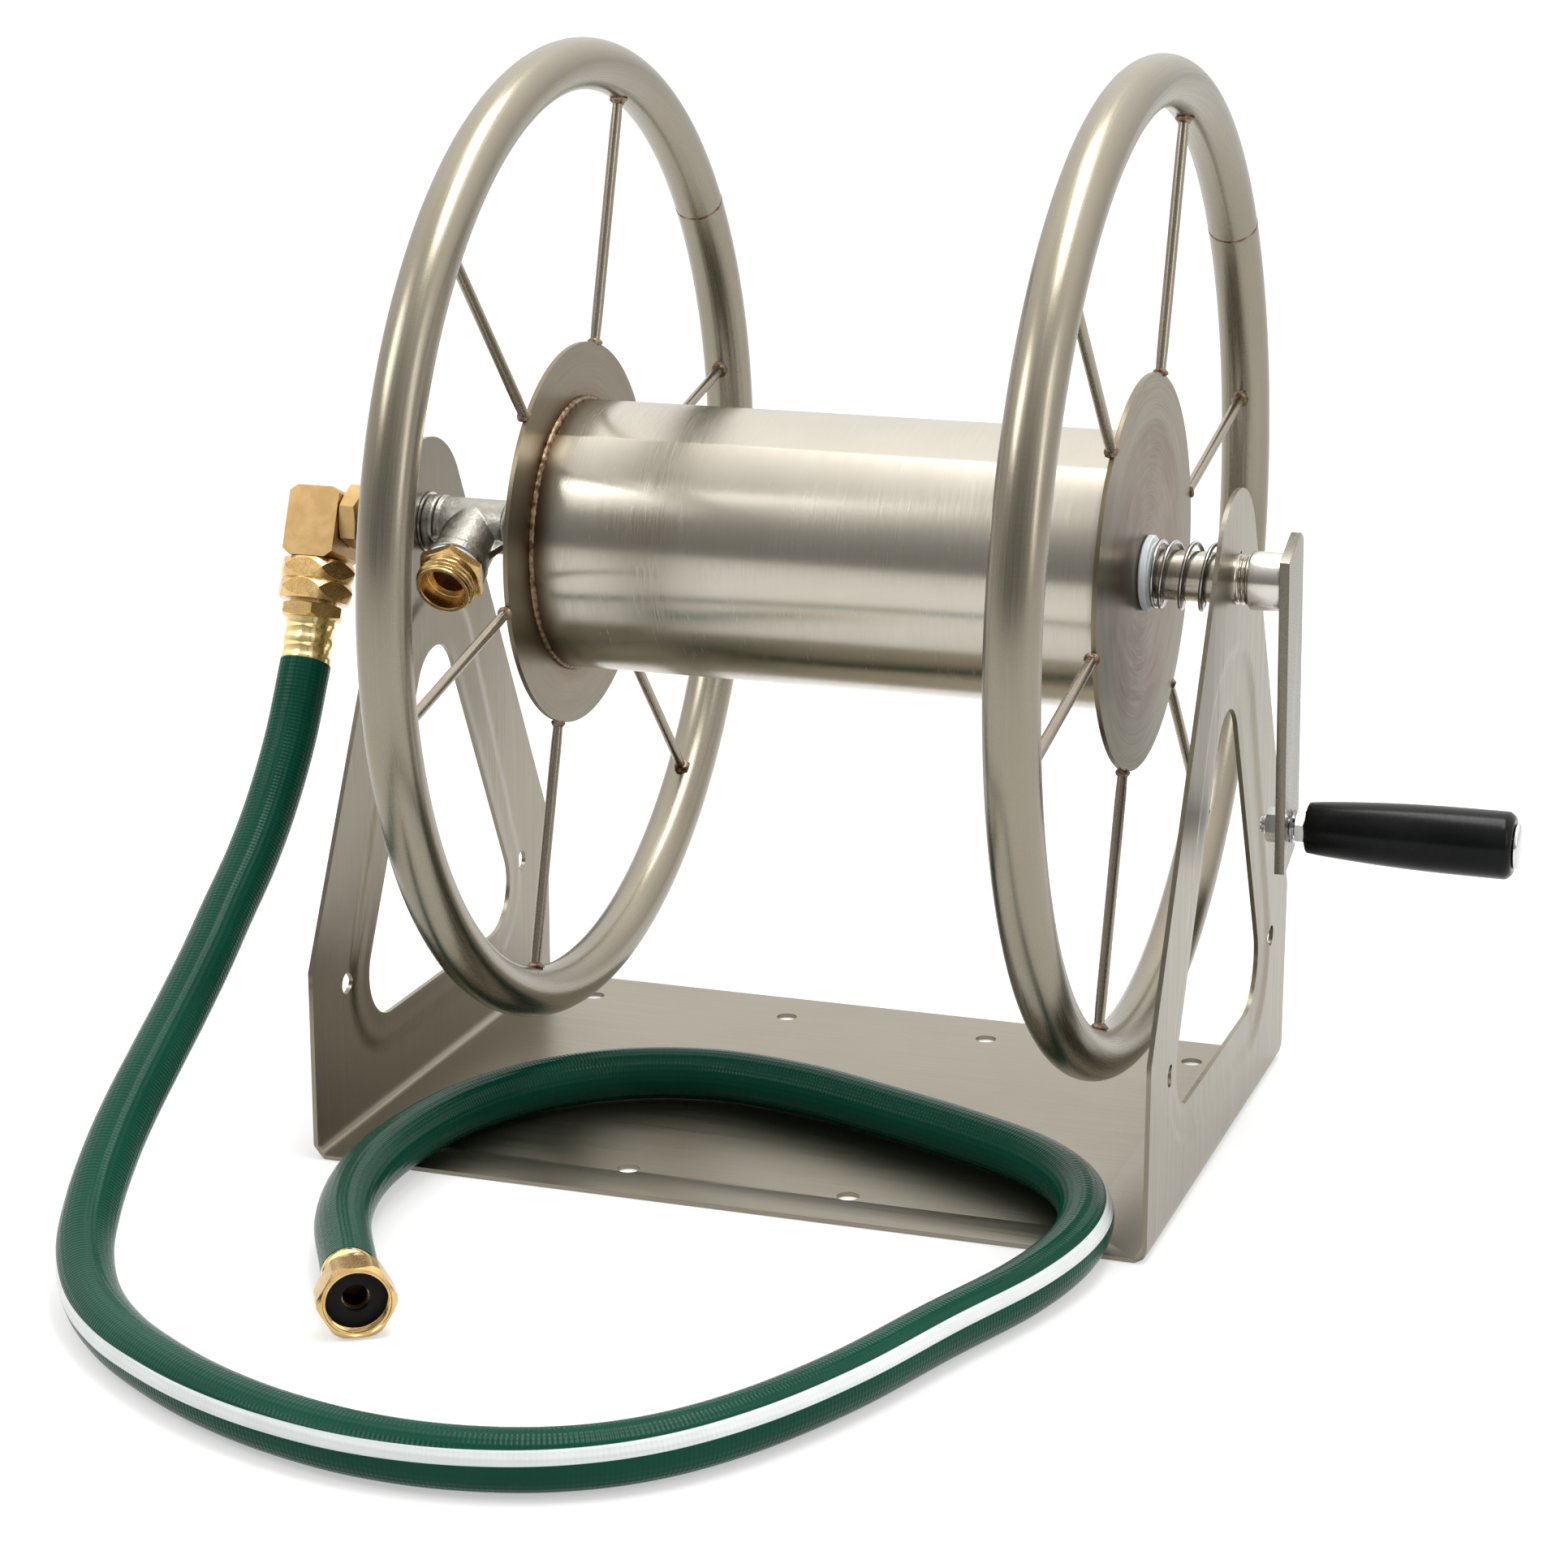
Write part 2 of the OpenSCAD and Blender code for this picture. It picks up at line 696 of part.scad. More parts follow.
module arm_nut() {
    color(bright_steel) on_grip(arm_x - nut_t - 0.02) difference() {
        hex_prism(nut_af, nut_t);
        translate([0, 0, -1]) cylinder(r = bolt_r + 0.02, h = nut_t + 2);
    }
}

// Split lock washer
module lock_washer() {
    color(bright_steel) on_grip(arm_end + 0.02) difference() {
        ring(7.2, bolt_r + 0.3, lock_washer_t - 0.04);
        rotate([0, 0, 50]) translate([bolt_r - 1, -0.6, -1]) cube([8, 1.2, lock_washer_t + 2]);
    }
}

module jam_nut() {
    color(bright_steel) on_grip(arm_end + lock_washer_t) difference() {
        hex_prism(nut_af, jam_nut_t);
        translate([0, 0, -1]) cylinder(r = bolt_r + 0.02, h = jam_nut_t + 2);
    }
}

// Bolt through the grip, with a domed head at the outer end
module grip_bolt() {
    head_x = grip_x + grip_len + 0.3;
    tip_x = arm_x - nut_t - 2;
    dome_r = (head_r * head_r + head_rise * head_rise) / (2 * head_rise);
    color(bright_steel) {
        on_grip(tip_x) cylinder(r = bolt_r - 0.02, h = head_x - tip_x + 0.5);
        on_grip(head_x) intersection() {
            translate([0, 0, head_rise - dome_r]) sphere(r = dome_r);
            cylinder(r = head_r, h = head_rise + 1);
        }
    }
}

// Tapered grip, thicker towards its outer end
module grip() {
    big_r = grip_d / 2;
    color(black) on_grip(grip_x) rotate_extrude() polygon([
        [bolt_r + 0.06, 0], [grip_small_r - 0.8, 0], [grip_small_r, 0.8],
        [big_r - 1.9, grip_len * 0.23], [big_r - 0.7, grip_len * 0.43], [big_r, grip_len * 0.68],
        [big_r, grip_len - grip_chamfer], [big_r - 2.4, grip_len], [bolt_r + 0.06, grip_len]
    ]);
}

base_plate();
side_plate_left();
side_plate_right();
swivel_body();
swivel_end_screw();
port_nut();
hose_tail();
inlet_ferrule();
hose();
coupling_ferrule();
coupling_tail();
coupling_nut();
coupling_washer();
swivel_stem();
swivel_seals();
thrust_washer();
axle_tee();
outlet_gasket();
outlet_adapter();
axle_pipe();
drum();
hub_disc_left();
hub_disc_right();
rim_left();
rim_right();
spokes_left();
spokes_right();
nylon_washer();
axle_spring();
crank_collar();
crank_arm();
arm_nut();
lock_washer();
jam_nut();
grip_bolt();
grip();
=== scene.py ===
"""The looks of the garden hose reel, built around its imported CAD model."""

import math

import bmesh
import bpy
from mathutils import Matrix, Vector, noise
from mathutils.geometry import delaunay_2d_cdt


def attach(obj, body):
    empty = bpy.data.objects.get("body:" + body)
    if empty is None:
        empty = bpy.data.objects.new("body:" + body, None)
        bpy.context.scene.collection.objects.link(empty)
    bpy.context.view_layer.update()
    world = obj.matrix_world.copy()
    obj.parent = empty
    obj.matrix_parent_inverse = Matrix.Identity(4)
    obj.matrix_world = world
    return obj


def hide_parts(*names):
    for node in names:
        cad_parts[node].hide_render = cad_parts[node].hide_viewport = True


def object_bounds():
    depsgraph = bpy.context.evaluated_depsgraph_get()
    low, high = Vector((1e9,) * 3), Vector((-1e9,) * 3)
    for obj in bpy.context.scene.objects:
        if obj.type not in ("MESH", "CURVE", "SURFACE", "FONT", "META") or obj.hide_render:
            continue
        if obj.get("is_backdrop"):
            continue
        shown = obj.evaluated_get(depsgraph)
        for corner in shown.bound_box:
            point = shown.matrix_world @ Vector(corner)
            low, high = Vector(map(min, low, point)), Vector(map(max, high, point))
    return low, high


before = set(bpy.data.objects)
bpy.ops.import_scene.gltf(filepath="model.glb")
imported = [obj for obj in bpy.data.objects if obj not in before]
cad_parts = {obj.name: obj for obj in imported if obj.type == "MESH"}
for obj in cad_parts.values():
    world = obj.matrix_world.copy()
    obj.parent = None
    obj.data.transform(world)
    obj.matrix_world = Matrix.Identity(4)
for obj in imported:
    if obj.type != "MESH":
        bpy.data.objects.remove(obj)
cad_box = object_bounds()

# ---- Sizes, in metres ------------------------------------------------------

MM = 0.001
AXLE_Z = 254.5 * MM
PLATE_OUT = 184.3 * MM
SHEET_T = 2 * MM
BEND_R = 5 * MM
RIM_R = 203.2 * MM
RIM_TUBE_R = 11.1 * MM
RIM_X = {"left": -111.5 * MM, "right": 143.5 * MM}
DISC_R = 83.7 * MM
DRUM_R = 58.8 * MM
DRUM_X = {"left": -109.4 * MM, "right": 143.1 * MM}
SPOKE_R = 2.4 * MM
SPOKE_PHASE = math.radians(13)
HOSE_R = 11.5 * MM

# ---- Mesh helpers ----------------------------------------------------------


def mm(*points):
    """Points given in millimetres, in metres."""
    return [tuple(c * MM for c in point) for point in points]


def piece(name, mesh, body, material, replaces=(), sharp=32):
    """Adds a mesh to the scene as a piece that rides on a body."""
    obj = bpy.data.objects.new(name, mesh)
    bpy.context.scene.collection.objects.link(obj)
    mesh.materials.clear()
    mesh.materials.append(material)
    mesh.shade_smooth()
    if sharp:
        mesh.set_sharp_from_angle(angle=math.radians(sharp))
    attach(obj, body)
    if replaces:
        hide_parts(*replaces)
    return obj


def grid(name, rows, around=True, closed=False, caps=True):
    """Surface through rows of points. U runs round a row from 0 to 1, V is the distance along it.
    around joins each row's ends, closed joins the last row to the first, caps fills the end rows."""
    count = len(rows[0])
    mesh = bpy.data.meshes.new(name)
    verts = [p for row in rows for p in row]
    spans = count if around else count - 1
    row_pairs = [(i, i + 1) for i in range(len(rows) - 1)]
    if closed:
        row_pairs.append((len(rows) - 1, 0))
    along = [0.0]
    for i in range(1, len(rows) + 1):
        step = sum((rows[i % len(rows)][k] - rows[i - 1][k]).length for k in range(0, count, 4))
        along.append(along[-1] + step / len(range(0, count, 4)))
    faces, coords = [], []
    for n, (a, b) in enumerate(row_pairs):
        for k in range(spans):
            m = (k + 1) % count
            faces.append((a * count + k, a * count + m, b * count + m, b * count + k))
            u0, u1 = k / spans, (k + 1) / spans
            coords += [(u0, along[n]), (u1, along[n]), (u1, along[n + 1]), (u0, along[n + 1])]
    if around and caps and not closed:
        faces.append(tuple(range(count - 1, -1, -1)))
        faces.append(tuple(range((len(rows) - 1) * count, len(rows) * count)))
        coords += [(k / count, 0.0) for k in range(count - 1, -1, -1)]
        coords += [(k / count, along[len(rows) - 1]) for k in range(count)]
    mesh.from_pydata(verts, [], faces)
    layer = mesh.uv_layers.new(name="UVMap")
    for loop, uv in zip(layer.data, coords):
        loop.uv = uv
    mesh.validate()
    fix = bmesh.new()
    fix.from_mesh(mesh)
    bmesh.ops.recalc_face_normals(fix, faces=fix.faces)
    fix.to_mesh(mesh)
    fix.free()
    return mesh


def axle_frame(x=0.0, y=0.0, z=AXLE_Z):
    """Local Z along +X, local X up, local Y towards -Y: a place for turned parts on the axle."""
    turn = Matrix(((0, 0, 1), (0, -1, 0), (1, 0, 0))).to_4x4()
    return Matrix.Translation((x, y, z)) @ turn


def aimed(origin, direction):
    """A frame at origin with its local Z along direction and local X level."""
    z = Vector(direction).normalized()
    x = Vector((0, 0, 1)).cross(z)
    x = x.normalized() if x.length > 1e-6 else Vector((1, 0, 0))
    y = z.cross(x)
    turn = Matrix((x, y, z)).transposed().to_4x4()
    return Matrix.Translation(origin) @ turn


def lathe(name, profile, place, segments=96, closed=False, wobble=None):
    """Turned shape: profile holds (distance along the axis, radius) pairs."""
    rows = []
    for h, r in profile:
        row = []
        for k in range(segments):
            a = math.tau * k / segments
            dr = wobble(a, h) if wobble else 0.0
            row.append(place @ Vector(((r + dr) * math.cos(a), (r + dr) * math.sin(a), h)))
        rows.append(row)
    return grid(name, rows, closed=closed)


def ring_profile(outer, inner, length, edge=0.0):
    """Closed profile of a washer or sleeve with its outer edges broken."""
    return [
        (0, inner), (0, outer - edge), (edge, outer), (length - edge, outer),
        (length, outer - edge), (length, inner),
    ]


def hex_radius(a, af):
    """Distance from a hexagon's middle to its edge, in direction a."""
    part = (a + math.pi / 6) % (math.pi / 3) - math.pi / 6
    return af / 2 / math.cos(part)


def hex_nut(name, place, af, length, bore, low=0.6, high=0.6, turn=0.0, inside=(), corner=1.0):
    """Hexagon with turned-down corners; low and high are the slopes of its two chamfers.
    inside holds rows that run from its high face back to its low face, and corner is the
    largest radius."""
    count = 72
    angles = [math.tau * k / count + math.pi / 6 for k in range(count)]
    radii = [min(hex_radius(a, af), corner) for a in angles]
    face = 0.97 * af / 2

    def row(h, r):
        hs = h if isinstance(h, list) else [h] * count
        rs = r if isinstance(r, list) else [r] * count
        return [
            place @ Vector((rs[k] * math.cos(a + turn), rs[k] * math.sin(a + turn), hs[k]))
            for k, a in enumerate(angles)
        ]

    rows = [row(0, bore)]
    if low:
        rows.append(row(0, face))
        rows.append(row([(r - face) * low for r in radii], radii))
    else:
        rows.append(row(0, radii))
    if high:
        rows.append(row([length - (r - face) * high for r in radii], radii))
        rows.append(row(length, face))
    else:
        rows.append(row(length, radii))
    if inside:
        rows.extend(inside)
    else:
        rows.append(row(length, bore))
    return grid(name, rows, closed=True)


def thread_wave(x):
    """One thread profile over x from 0 to 1: flat root, flank, narrow crest, flank."""
    x = x % 1.0
    if x < 0.2:
        return 0.0
    if x < 0.5:
        return (x - 0.2) / 0.3
    if x < 0.65:
        return 1.0
    return (1.0 - x) / 0.35


def thread_rows(place, start, length, r, depth, pitch, segments=96, per_turn=14, offset=0.0):
    """Rows of a threaded stretch, which fades in and out at its ends."""
    rows = []
    steps = max(8, round(length / pitch * per_turn))
    for i in range(steps + 1):
        h = length * i / steps
        fade = min(1.0, h / (0.5 * pitch), (length - h) / (0.5 * pitch))
        row = []
        for k in range(segments):
            a = math.tau * k / segments + offset
            wave = thread_wave(h / pitch - k / segments)
            radius = r - depth * (1 - max(0.0, fade) * wave)
            row.append(place @ Vector((radius * math.cos(a), radius * math.sin(a), start + h)))
        rows.append(row)
    return rows


def turned_rows(place, profile, segments=96, offset=0.0):
    """Rows of a turned stretch, to be joined to rows of thread."""
    rows = []
    for h, r in profile:
        rows.append([
            place @ Vector((r * math.cos(a), r * math.sin(a), h))
            for a in (math.tau * k / segments + offset for k in range(segments))
        ])
    return rows


# ---- Material helpers ------------------------------------------------------


class Paint:
    """A material with short names for the nodes that it uses."""

    def __init__(self, name, color, metallic=0.0, roughness=0.5, **sockets):
        self.material = bpy.data.materials.new(name)
        self.material.use_nodes = True
        self.tree = self.material.node_tree
        self.bsdf = self.tree.nodes["Principled BSDF"]
        self.bsdf.inputs["Base Color"].default_value = (*color, 1)
        self.bsdf.inputs["Metallic"].default_value = metallic
        self.bsdf.inputs["Roughness"].default_value = roughness
        for key, number in sockets.items():
            self.bsdf.inputs[key.replace("_", " ").title()].default_value = number

    def new(self, kind, inputs=(), **settings):
        node = self.tree.nodes.new("ShaderNode" + kind)
        for key, setting in settings.items():
            setattr(node, key, setting)
        for key, given in dict(inputs).items():
            self.feed(given, node.inputs[key])
        return node

    def feed(self, given, socket):
        if isinstance(given, bpy.types.NodeSocket):
            self.tree.links.new(given, socket)
        else:
            socket.default_value = given

    def set(self, socket, given):
        self.feed(given, self.bsdf.inputs[socket])

    def place(self):
        """Position in the object's own frame."""
        return self.new("TexCoord").outputs["Object"]

    def uv(self):
        return self.new("TexCoord").outputs["UV"]

    def split(self, vector):
        node = self.new("SeparateXYZ", {0: vector})
        return node.outputs[0], node.outputs[1], node.outputs[2]

    def join(self, x, y, z):
        return self.new("CombineXYZ", {0: x, 1: y, 2: z}).outputs[0]

    def math(self, operation, *given, clamp=False):
        node = self.new("Math", dict(enumerate(given)), operation=operation)
        node.use_clamp = clamp
        return node.outputs[0]

    def noise(self, vector, scale, detail=2.0, rough=0.5):
        node = self.new("TexNoise", {"Vector": vector, "Scale": scale, "Detail": detail,
                                     "Roughness": rough})
        return node.outputs[0]

    def stretch(self, vector, x, y, z):
        return self.new("Mapping", {0: vector, 3: (x, y, z)}).outputs[0]

    def ramp(self, given, low, high, start=0.0, end=1.0):
        """Smooth step from start to end as the given value goes from low to high."""
        node = self.new("MapRange", {0: given, 1: low, 2: high, 3: start, 4: end},
                        interpolation_type="SMOOTHSTEP")
        return node.outputs[0]

    def mix(self, amount, a, b, blend="MIX"):
        node = self.new("Mix", data_type="RGBA", blend_type=blend)
        self.feed(amount, node.inputs[0])
        self.feed(a if isinstance(a, bpy.types.NodeSocket) else (*a, 1), node.inputs[6])
        self.feed(b if isinstance(b, bpy.types.NodeSocket) else (*b, 1), node.inputs[7])
        return node.outputs[2]

    def bump(self, height, strength, distance):
        """Sets the surface's bump."""
        node = self.new("Bump", {"Strength": strength, "Distance": distance, "Height": height})
        self.set("Normal", node.outputs[0])

    def round_the_axle(self):
        """Distance along the axle and from it, and the angle round it."""
        x, y, z = self.split(self.place())
        up = self.math("SUBTRACT", z, AXLE_Z)
        squares = self.math("ADD", self.math("MULTIPLY", y, y), self.math("MULTIPLY", up, up))
        return x, self.math("SQRT", squares), self.math("ARCTAN2", up, y)


# ---- Camera ----------------------------------------------------------------

camera = bpy.data.objects.new("camera", bpy.data.cameras.new("camera"))
camera.location = (0.50995, -1.54296, 0.59946)
camera.rotation_euler = (math.radians(90 - 15.478), 0, math.radians(18.881))
camera.data.lens = 88.25
camera.data.sensor_width = 36
camera.data.clip_end = 60
bpy.context.scene.collection.objects.link(camera)
bpy.context.scene.camera = camera

# ---- Hose ------------------------------------------------------------------

HOSE_ROUTE = [
    (-233, -25.5, 191.4), (-232.5, -44, 162), (-232, -66, 137), (-231, -90, 118),
    (-230, -117, 101.5), (-228, -142, 88), (-226, -169, 75), (-224, -197, 62.5),
    (-221.5, -225, 50.5), (-218, -250, 39.5), (-212, -276, 28.5), (-202, -302, 19.5),
    (-184, -329, 13.5), (-159, -354, 11.6), (-130, -375, 11.6), (-101, -391, 11.6),
    (-69, -403, 11.6), (-34, -410, 11.6), (2, -409, 11.6), (36, -399, 11.6),
    (65, -379, 11.6), (90, -347, 11.6), (112, -303, 11.6), (131, -250, 11.6),
    (150, -200, 11.7), (159, -161, 12.9), (157.5, -127, 13.8), (145, -96, 13.8),
    (122, -71, 13.8), (88, -52, 13.8), (46, -34, 13.8), (1, -18, 13.8),
    (-43, -13, 13.8), (-82.5, -25.5, 13.8), (-113, -53, 13.8), (-132.5, -91, 13.8),
    (-140.5, -136, 14), (-138.5, -182, 14.6), (-125, -229, 15.2), (-98.9, -278.6, 15.2),
]


def smooth_path(points, steps):
    """Points on a smooth curve through the given ones."""
    ends = [2 * points[0] - points[1], *points, 2 * points[-1] - points[-2]]
    path = []
    for a, b, c, d in zip(ends, ends[1:], ends[2:], ends[3:]):
        for k in range(steps):
            t = k / steps
            path.append(0.5 * (2 * b + (c - a) * t + (2 * a - 5 * b + 4 * c - d) * t * t
                               + (3 * b - 3 * c + d - a) * t ** 3))
    path.append(points[-1])
    return path


def sweep_rows(path, radius, sides):
    """Rows of points round a path. Column 0 faces sideways, and the others turn upwards from it."""
    rows = []
    last = len(path) - 1
    for i, p in enumerate(path):
        ahead = (path[min(i + 1, last)] - path[max(i - 1, 0)]).normalized()
        side = ahead.cross(Vector((0, 0, 1))).normalized()
        up = side.cross(ahead)
        rows.append([
            p + radius * (math.cos(a) * side + math.sin(a) * up)
            for a in (math.tau * k / sides for k in range(sides))
        ])
    return rows


def hose_paint():
    """Green hose with the braid showing through its skin, and one pale stripe."""
    paint = Paint("hose_green", (0.002, 0.045, 0.027), roughness=0.2)
    paint.set("Specular IOR Level", 0.085)
    u, v, _ = paint.split(paint.uv())
    # Two crossing helices of the braid under the skin
    turns = paint.math("MULTIPLY", u, math.tau * 14)
    along = paint.math("MULTIPLY", v, math.tau / 0.0036)
    one = paint.math("SINE", paint.math("ADD", along, turns))
    two = paint.math("SINE", paint.math("SUBTRACT", along, turns))
    weave = paint.math("MULTIPLY", one, two)
    wear = paint.noise(paint.place(), 900, 2)
    height = paint.math("ADD", weave, paint.math("MULTIPLY", wear, 0.5))
    paint.bump(height, 0.75, 0.12 * MM)
    tone = paint.noise(paint.place(), 22, 3)
    green = paint.mix(tone, (0.001, 0.033, 0.020), (0.0025, 0.052, 0.031))
    # The pale stripe is highest 0.8 m along, and winds down the hose's sides before and after
    from_top = paint.math("POWER", paint.math("ABSOLUTE", paint.math("SUBTRACT", v, 0.8)), 2.0)
    wound = paint.math("SUBTRACT", 0.092, paint.math("MULTIPLY", from_top, 0.4))
    middle = paint.math("MAXIMUM", wound, -0.022)
    off = paint.math("ABSOLUTE", paint.math("WRAP", paint.math("SUBTRACT", u, middle), 0.5, -0.5))
    stripe = paint.ramp(off, 0.0385, 0.0415, 1.0, 0.0)
    pale = paint.mix(paint.noise(paint.place(), 60, 3), (0.50, 0.53, 0.53), (0.60, 0.63, 0.63))
    paint.set("Base Color", paint.mix(stripe, green, pale))
    paint.set("Roughness", paint.ramp(wear, 0.2, 0.8, 0.15, 0.27))
    return paint.material


hose_path = smooth_path([Vector(p) * MM for p in HOSE_ROUTE], 16)
hose_mesh = grid("hose_tube", sweep_rows(hose_path, HOSE_R, 48))
hose = piece("hose_tube", hose_mesh, "frame", hose_paint(), ["hose"])

# ---- Steel materials -------------------------------------------------------

WARM = (0.20, 0.179, 0.136)
PALE = (0.28, 0.254, 0.202)
TINT = (0.12, 0.065, 0.03)


def steel_tone(paint, coords, tint=None, warm=WARM, pale=PALE):
    """Base colour that drifts between two tones, with brown heat tint where tint is 1."""
    cloud = paint.noise(coords, 9, 4, 0.6)
    base = paint.mix(cloud, warm, pale)
    if tint:
        base = paint.mix(tint, base, TINT)
    paint.set("Base Color", base)


def sheet_paint():
    """Rolled sheet: fine grain along X and up the sides, a few scratches."""
    paint = Paint("frame_sheet", WARM, metallic=1.0, roughness=0.3, anisotropic=0.3)
    coords = paint.place()
    grain = paint.noise(paint.stretch(coords, 12, 900, 12), 1.0, 3)
    fine = paint.noise(coords, 1400, 2)
    scratch = paint.noise(paint.stretch(coords, 40, 260, 260), 1.0, 5, 0.7)
    marks = paint.ramp(scratch, 0.66, 0.72)
    steel_tone(paint, coords)
    rough = paint.math("ADD", paint.ramp(grain, 0.25, 0.75, 0.27, 0.36),
                       paint.math("MULTIPLY", marks, 0.06))
    paint.set("Roughness", rough)
    paint.bump(paint.math("ADD", grain, paint.math("MULTIPLY", fine, 0.6)), 0.12, 0.1 * MM)
    return paint.material


def turned_paint(name, tint_bands=(), roughness=0.25, warm=WARM, pale=PALE):
    """Steel brushed round the axle. tint_bands hold pairs of radii: brown heat tint is full inside
    the first and gone outside the second."""
    paint = Paint(name, WARM, metallic=1.0, roughness=roughness, anisotropic=0.4)
    x, r, a = paint.round_the_axle()
    lines = paint.noise(paint.join(paint.math("MULTIPLY", x, 1500), paint.math("MULTIPLY", r, 1500),
                                   paint.math("MULTIPLY", a, 2.0)), 1.0, 3, 0.6)
    broad = paint.noise(paint.join(paint.math("MULTIPLY", x, 120), paint.math("MULTIPLY", r, 120), a),
                        1.0, 2)
    patch = paint.noise(paint.place(), 35, 4, 0.6)
    tint = None
    for start, full in tint_bands:
        band = paint.math("MULTIPLY", paint.ramp(r, start, full, 1.0, 0.0),
                          paint.ramp(patch, 0.3, 0.7, 0.3, 0.9))
        tint = band if tint is None else paint.math("MAXIMUM", tint, band)
    steel_tone(paint, paint.place(), tint, warm, pale)
    rough = paint.ramp(lines, 0.25, 0.75, roughness - 0.04, roughness + 0.06)
    paint.set("Roughness", paint.math("ADD", rough, paint.math("MULTIPLY", broad, 0.05)))
    paint.bump(paint.math("ADD", lines, broad), 0.10, 0.1 * MM)
    return paint.material


def drum_paint():
    """Drum: brushed round, with brown tint near its two welded ends."""
    paint = Paint("drum_steel", WARM, metallic=1.0, roughness=0.2, anisotropic=0.5)
    x, _, a = paint.round_the_axle()
    lines = paint.noise(paint.join(paint.math("MULTIPLY", x, 1800), 0.0, paint.math("MULTIPLY", a, 3.0)),
                        1.0, 4, 0.65)
    broad = paint.noise(paint.join(paint.math("MULTIPLY", x, 90), 0.0, a), 1.0, 3)
    patch = paint.noise(paint.place(), 28, 4, 0.6)
    near = paint.math("MINIMUM", paint.math("SUBTRACT", x, DRUM_X["left"]),
                      paint.math("SUBTRACT", DRUM_X["right"], x))
    ragged = paint.math("ADD", near, paint.math("MULTIPLY", patch, -4 * MM))
    burn = paint.ramp(ragged, 0.0, 7 * MM, 0.85, 0.0)
    steel_tone(paint, paint.place(), burn, (0.37, 0.34, 0.28), (0.52, 0.49, 0.43))
    paint.set("Roughness", paint.math("ADD", paint.ramp(lines, 0.25, 0.75, 0.15, 0.25),
                                      paint.math("MULTIPLY", broad, 0.06)))
    paint.bump(paint.math("ADD", lines, paint.math("MULTIPLY", broad, 2.0)), 0.08, 0.1 * MM)
    return paint.material


def rim_paint():
    """Bent tube: fine lines along it and faint marks across it."""
    paint = Paint("rim_steel", WARM, metallic=1.0, roughness=0.27, anisotropic=0.2)
    u, v, _ = paint.split(paint.uv())
    lines = paint.noise(paint.join(paint.math("MULTIPLY", u, 90), paint.math("MULTIPLY", v, 12), 0.0),
                        1.0, 3, 0.6)
    cross = paint.noise(paint.join(paint.math("MULTIPLY", u, 3), paint.math("MULTIPLY", v, 700), 0.0),
                        1.0, 2)
    steel_tone(paint, paint.place())
    paint.set("Roughness", paint.math("ADD", paint.ramp(lines, 0.3, 0.7, 0.22, 0.31),
                                      paint.math("MULTIPLY", cross, 0.03)))
    paint.bump(paint.math("ADD", lines, paint.math("MULTIPLY", cross, 0.6)), 0.12, 0.1 * MM)
    return paint.material


def plain_steel(name, tone, roughness):
    """Small bright part: fine grain and slight drift in tone."""
    paint = Paint(name, tone, metallic=1.0, roughness=roughness)
    coords = paint.place()
    fine = paint.noise(coords, 1200, 2)
    cloud = paint.noise(coords, 60, 3)
    dark = tuple(0.82 * c for c in tone)
    paint.set("Base Color", paint.mix(cloud, dark, tone))
    paint.set("Roughness", paint.ramp(fine, 0.25, 0.75, roughness - 0.05, roughness + 0.07))
    paint.bump(fine, 0.1, 0.1 * MM)
    return paint.material


def weld_paint():
    """Weld bead: ripples, straw and brown oxide."""
    paint = Paint("weld", (0.30, 0.20, 0.12), metallic=1.0, roughness=0.42)
    coords = paint.place()
    patch = paint.noise(coords, 240, 4, 0.65)
    fine = paint.noise(coords, 1500, 3)
    brown = paint.mix(paint.ramp(patch, 0.35, 0.65), (0.085, 0.042, 0.022), (0.27, 0.205, 0.145))
    paint.set("Base Color", brown)
    paint.set("Roughness", paint.ramp(patch, 0.3, 0.7, 0.32, 0.5))
    paint.bump(fine, 0.35, 0.2 * MM)
    return paint.material


def brass_paint(name, light, dark, roughness):
    """Brass that drifts between two tones, with a fine skin."""
    paint = Paint(name, light, metallic=1.0, roughness=roughness)
    coords = paint.place()
    cloud = paint.noise(coords, 130, 4, 0.6)
    fine = paint.noise(coords, 1600, 2)
    paint.set("Base Color", paint.mix(paint.ramp(cloud, 0.3, 0.7), dark, light))
    paint.set("Roughness", paint.ramp(fine, 0.2, 0.8, roughness - 0.05, roughness + 0.08))
    paint.bump(paint.math("ADD", fine, cloud), 0.03, 0.1 * MM)
    return paint.material


def cast_paint():
    """Investment casting: blasted skin with small pits."""
    paint = Paint("cast_steel", (0.66, 0.65, 0.62), metallic=1.0, roughness=0.34)
    coords = paint.place()
    pits = paint.new("TexVoronoi", {"Vector": coords, "Scale": 750.0}).outputs["Distance"]
    lump = paint.noise(coords, 260, 4, 0.6)
    height = paint.math("ADD", paint.math("MULTIPLY", pits, 0.6), lump)
    paint.set("Base Color", paint.mix(lump, (0.19, 0.183, 0.160), (0.40, 0.388, 0.348)))
    paint.set("Roughness", paint.ramp(lump, 0.3, 0.7, 0.34, 0.5))
    paint.bump(height, 0.35, 0.3 * MM)
    return paint.material


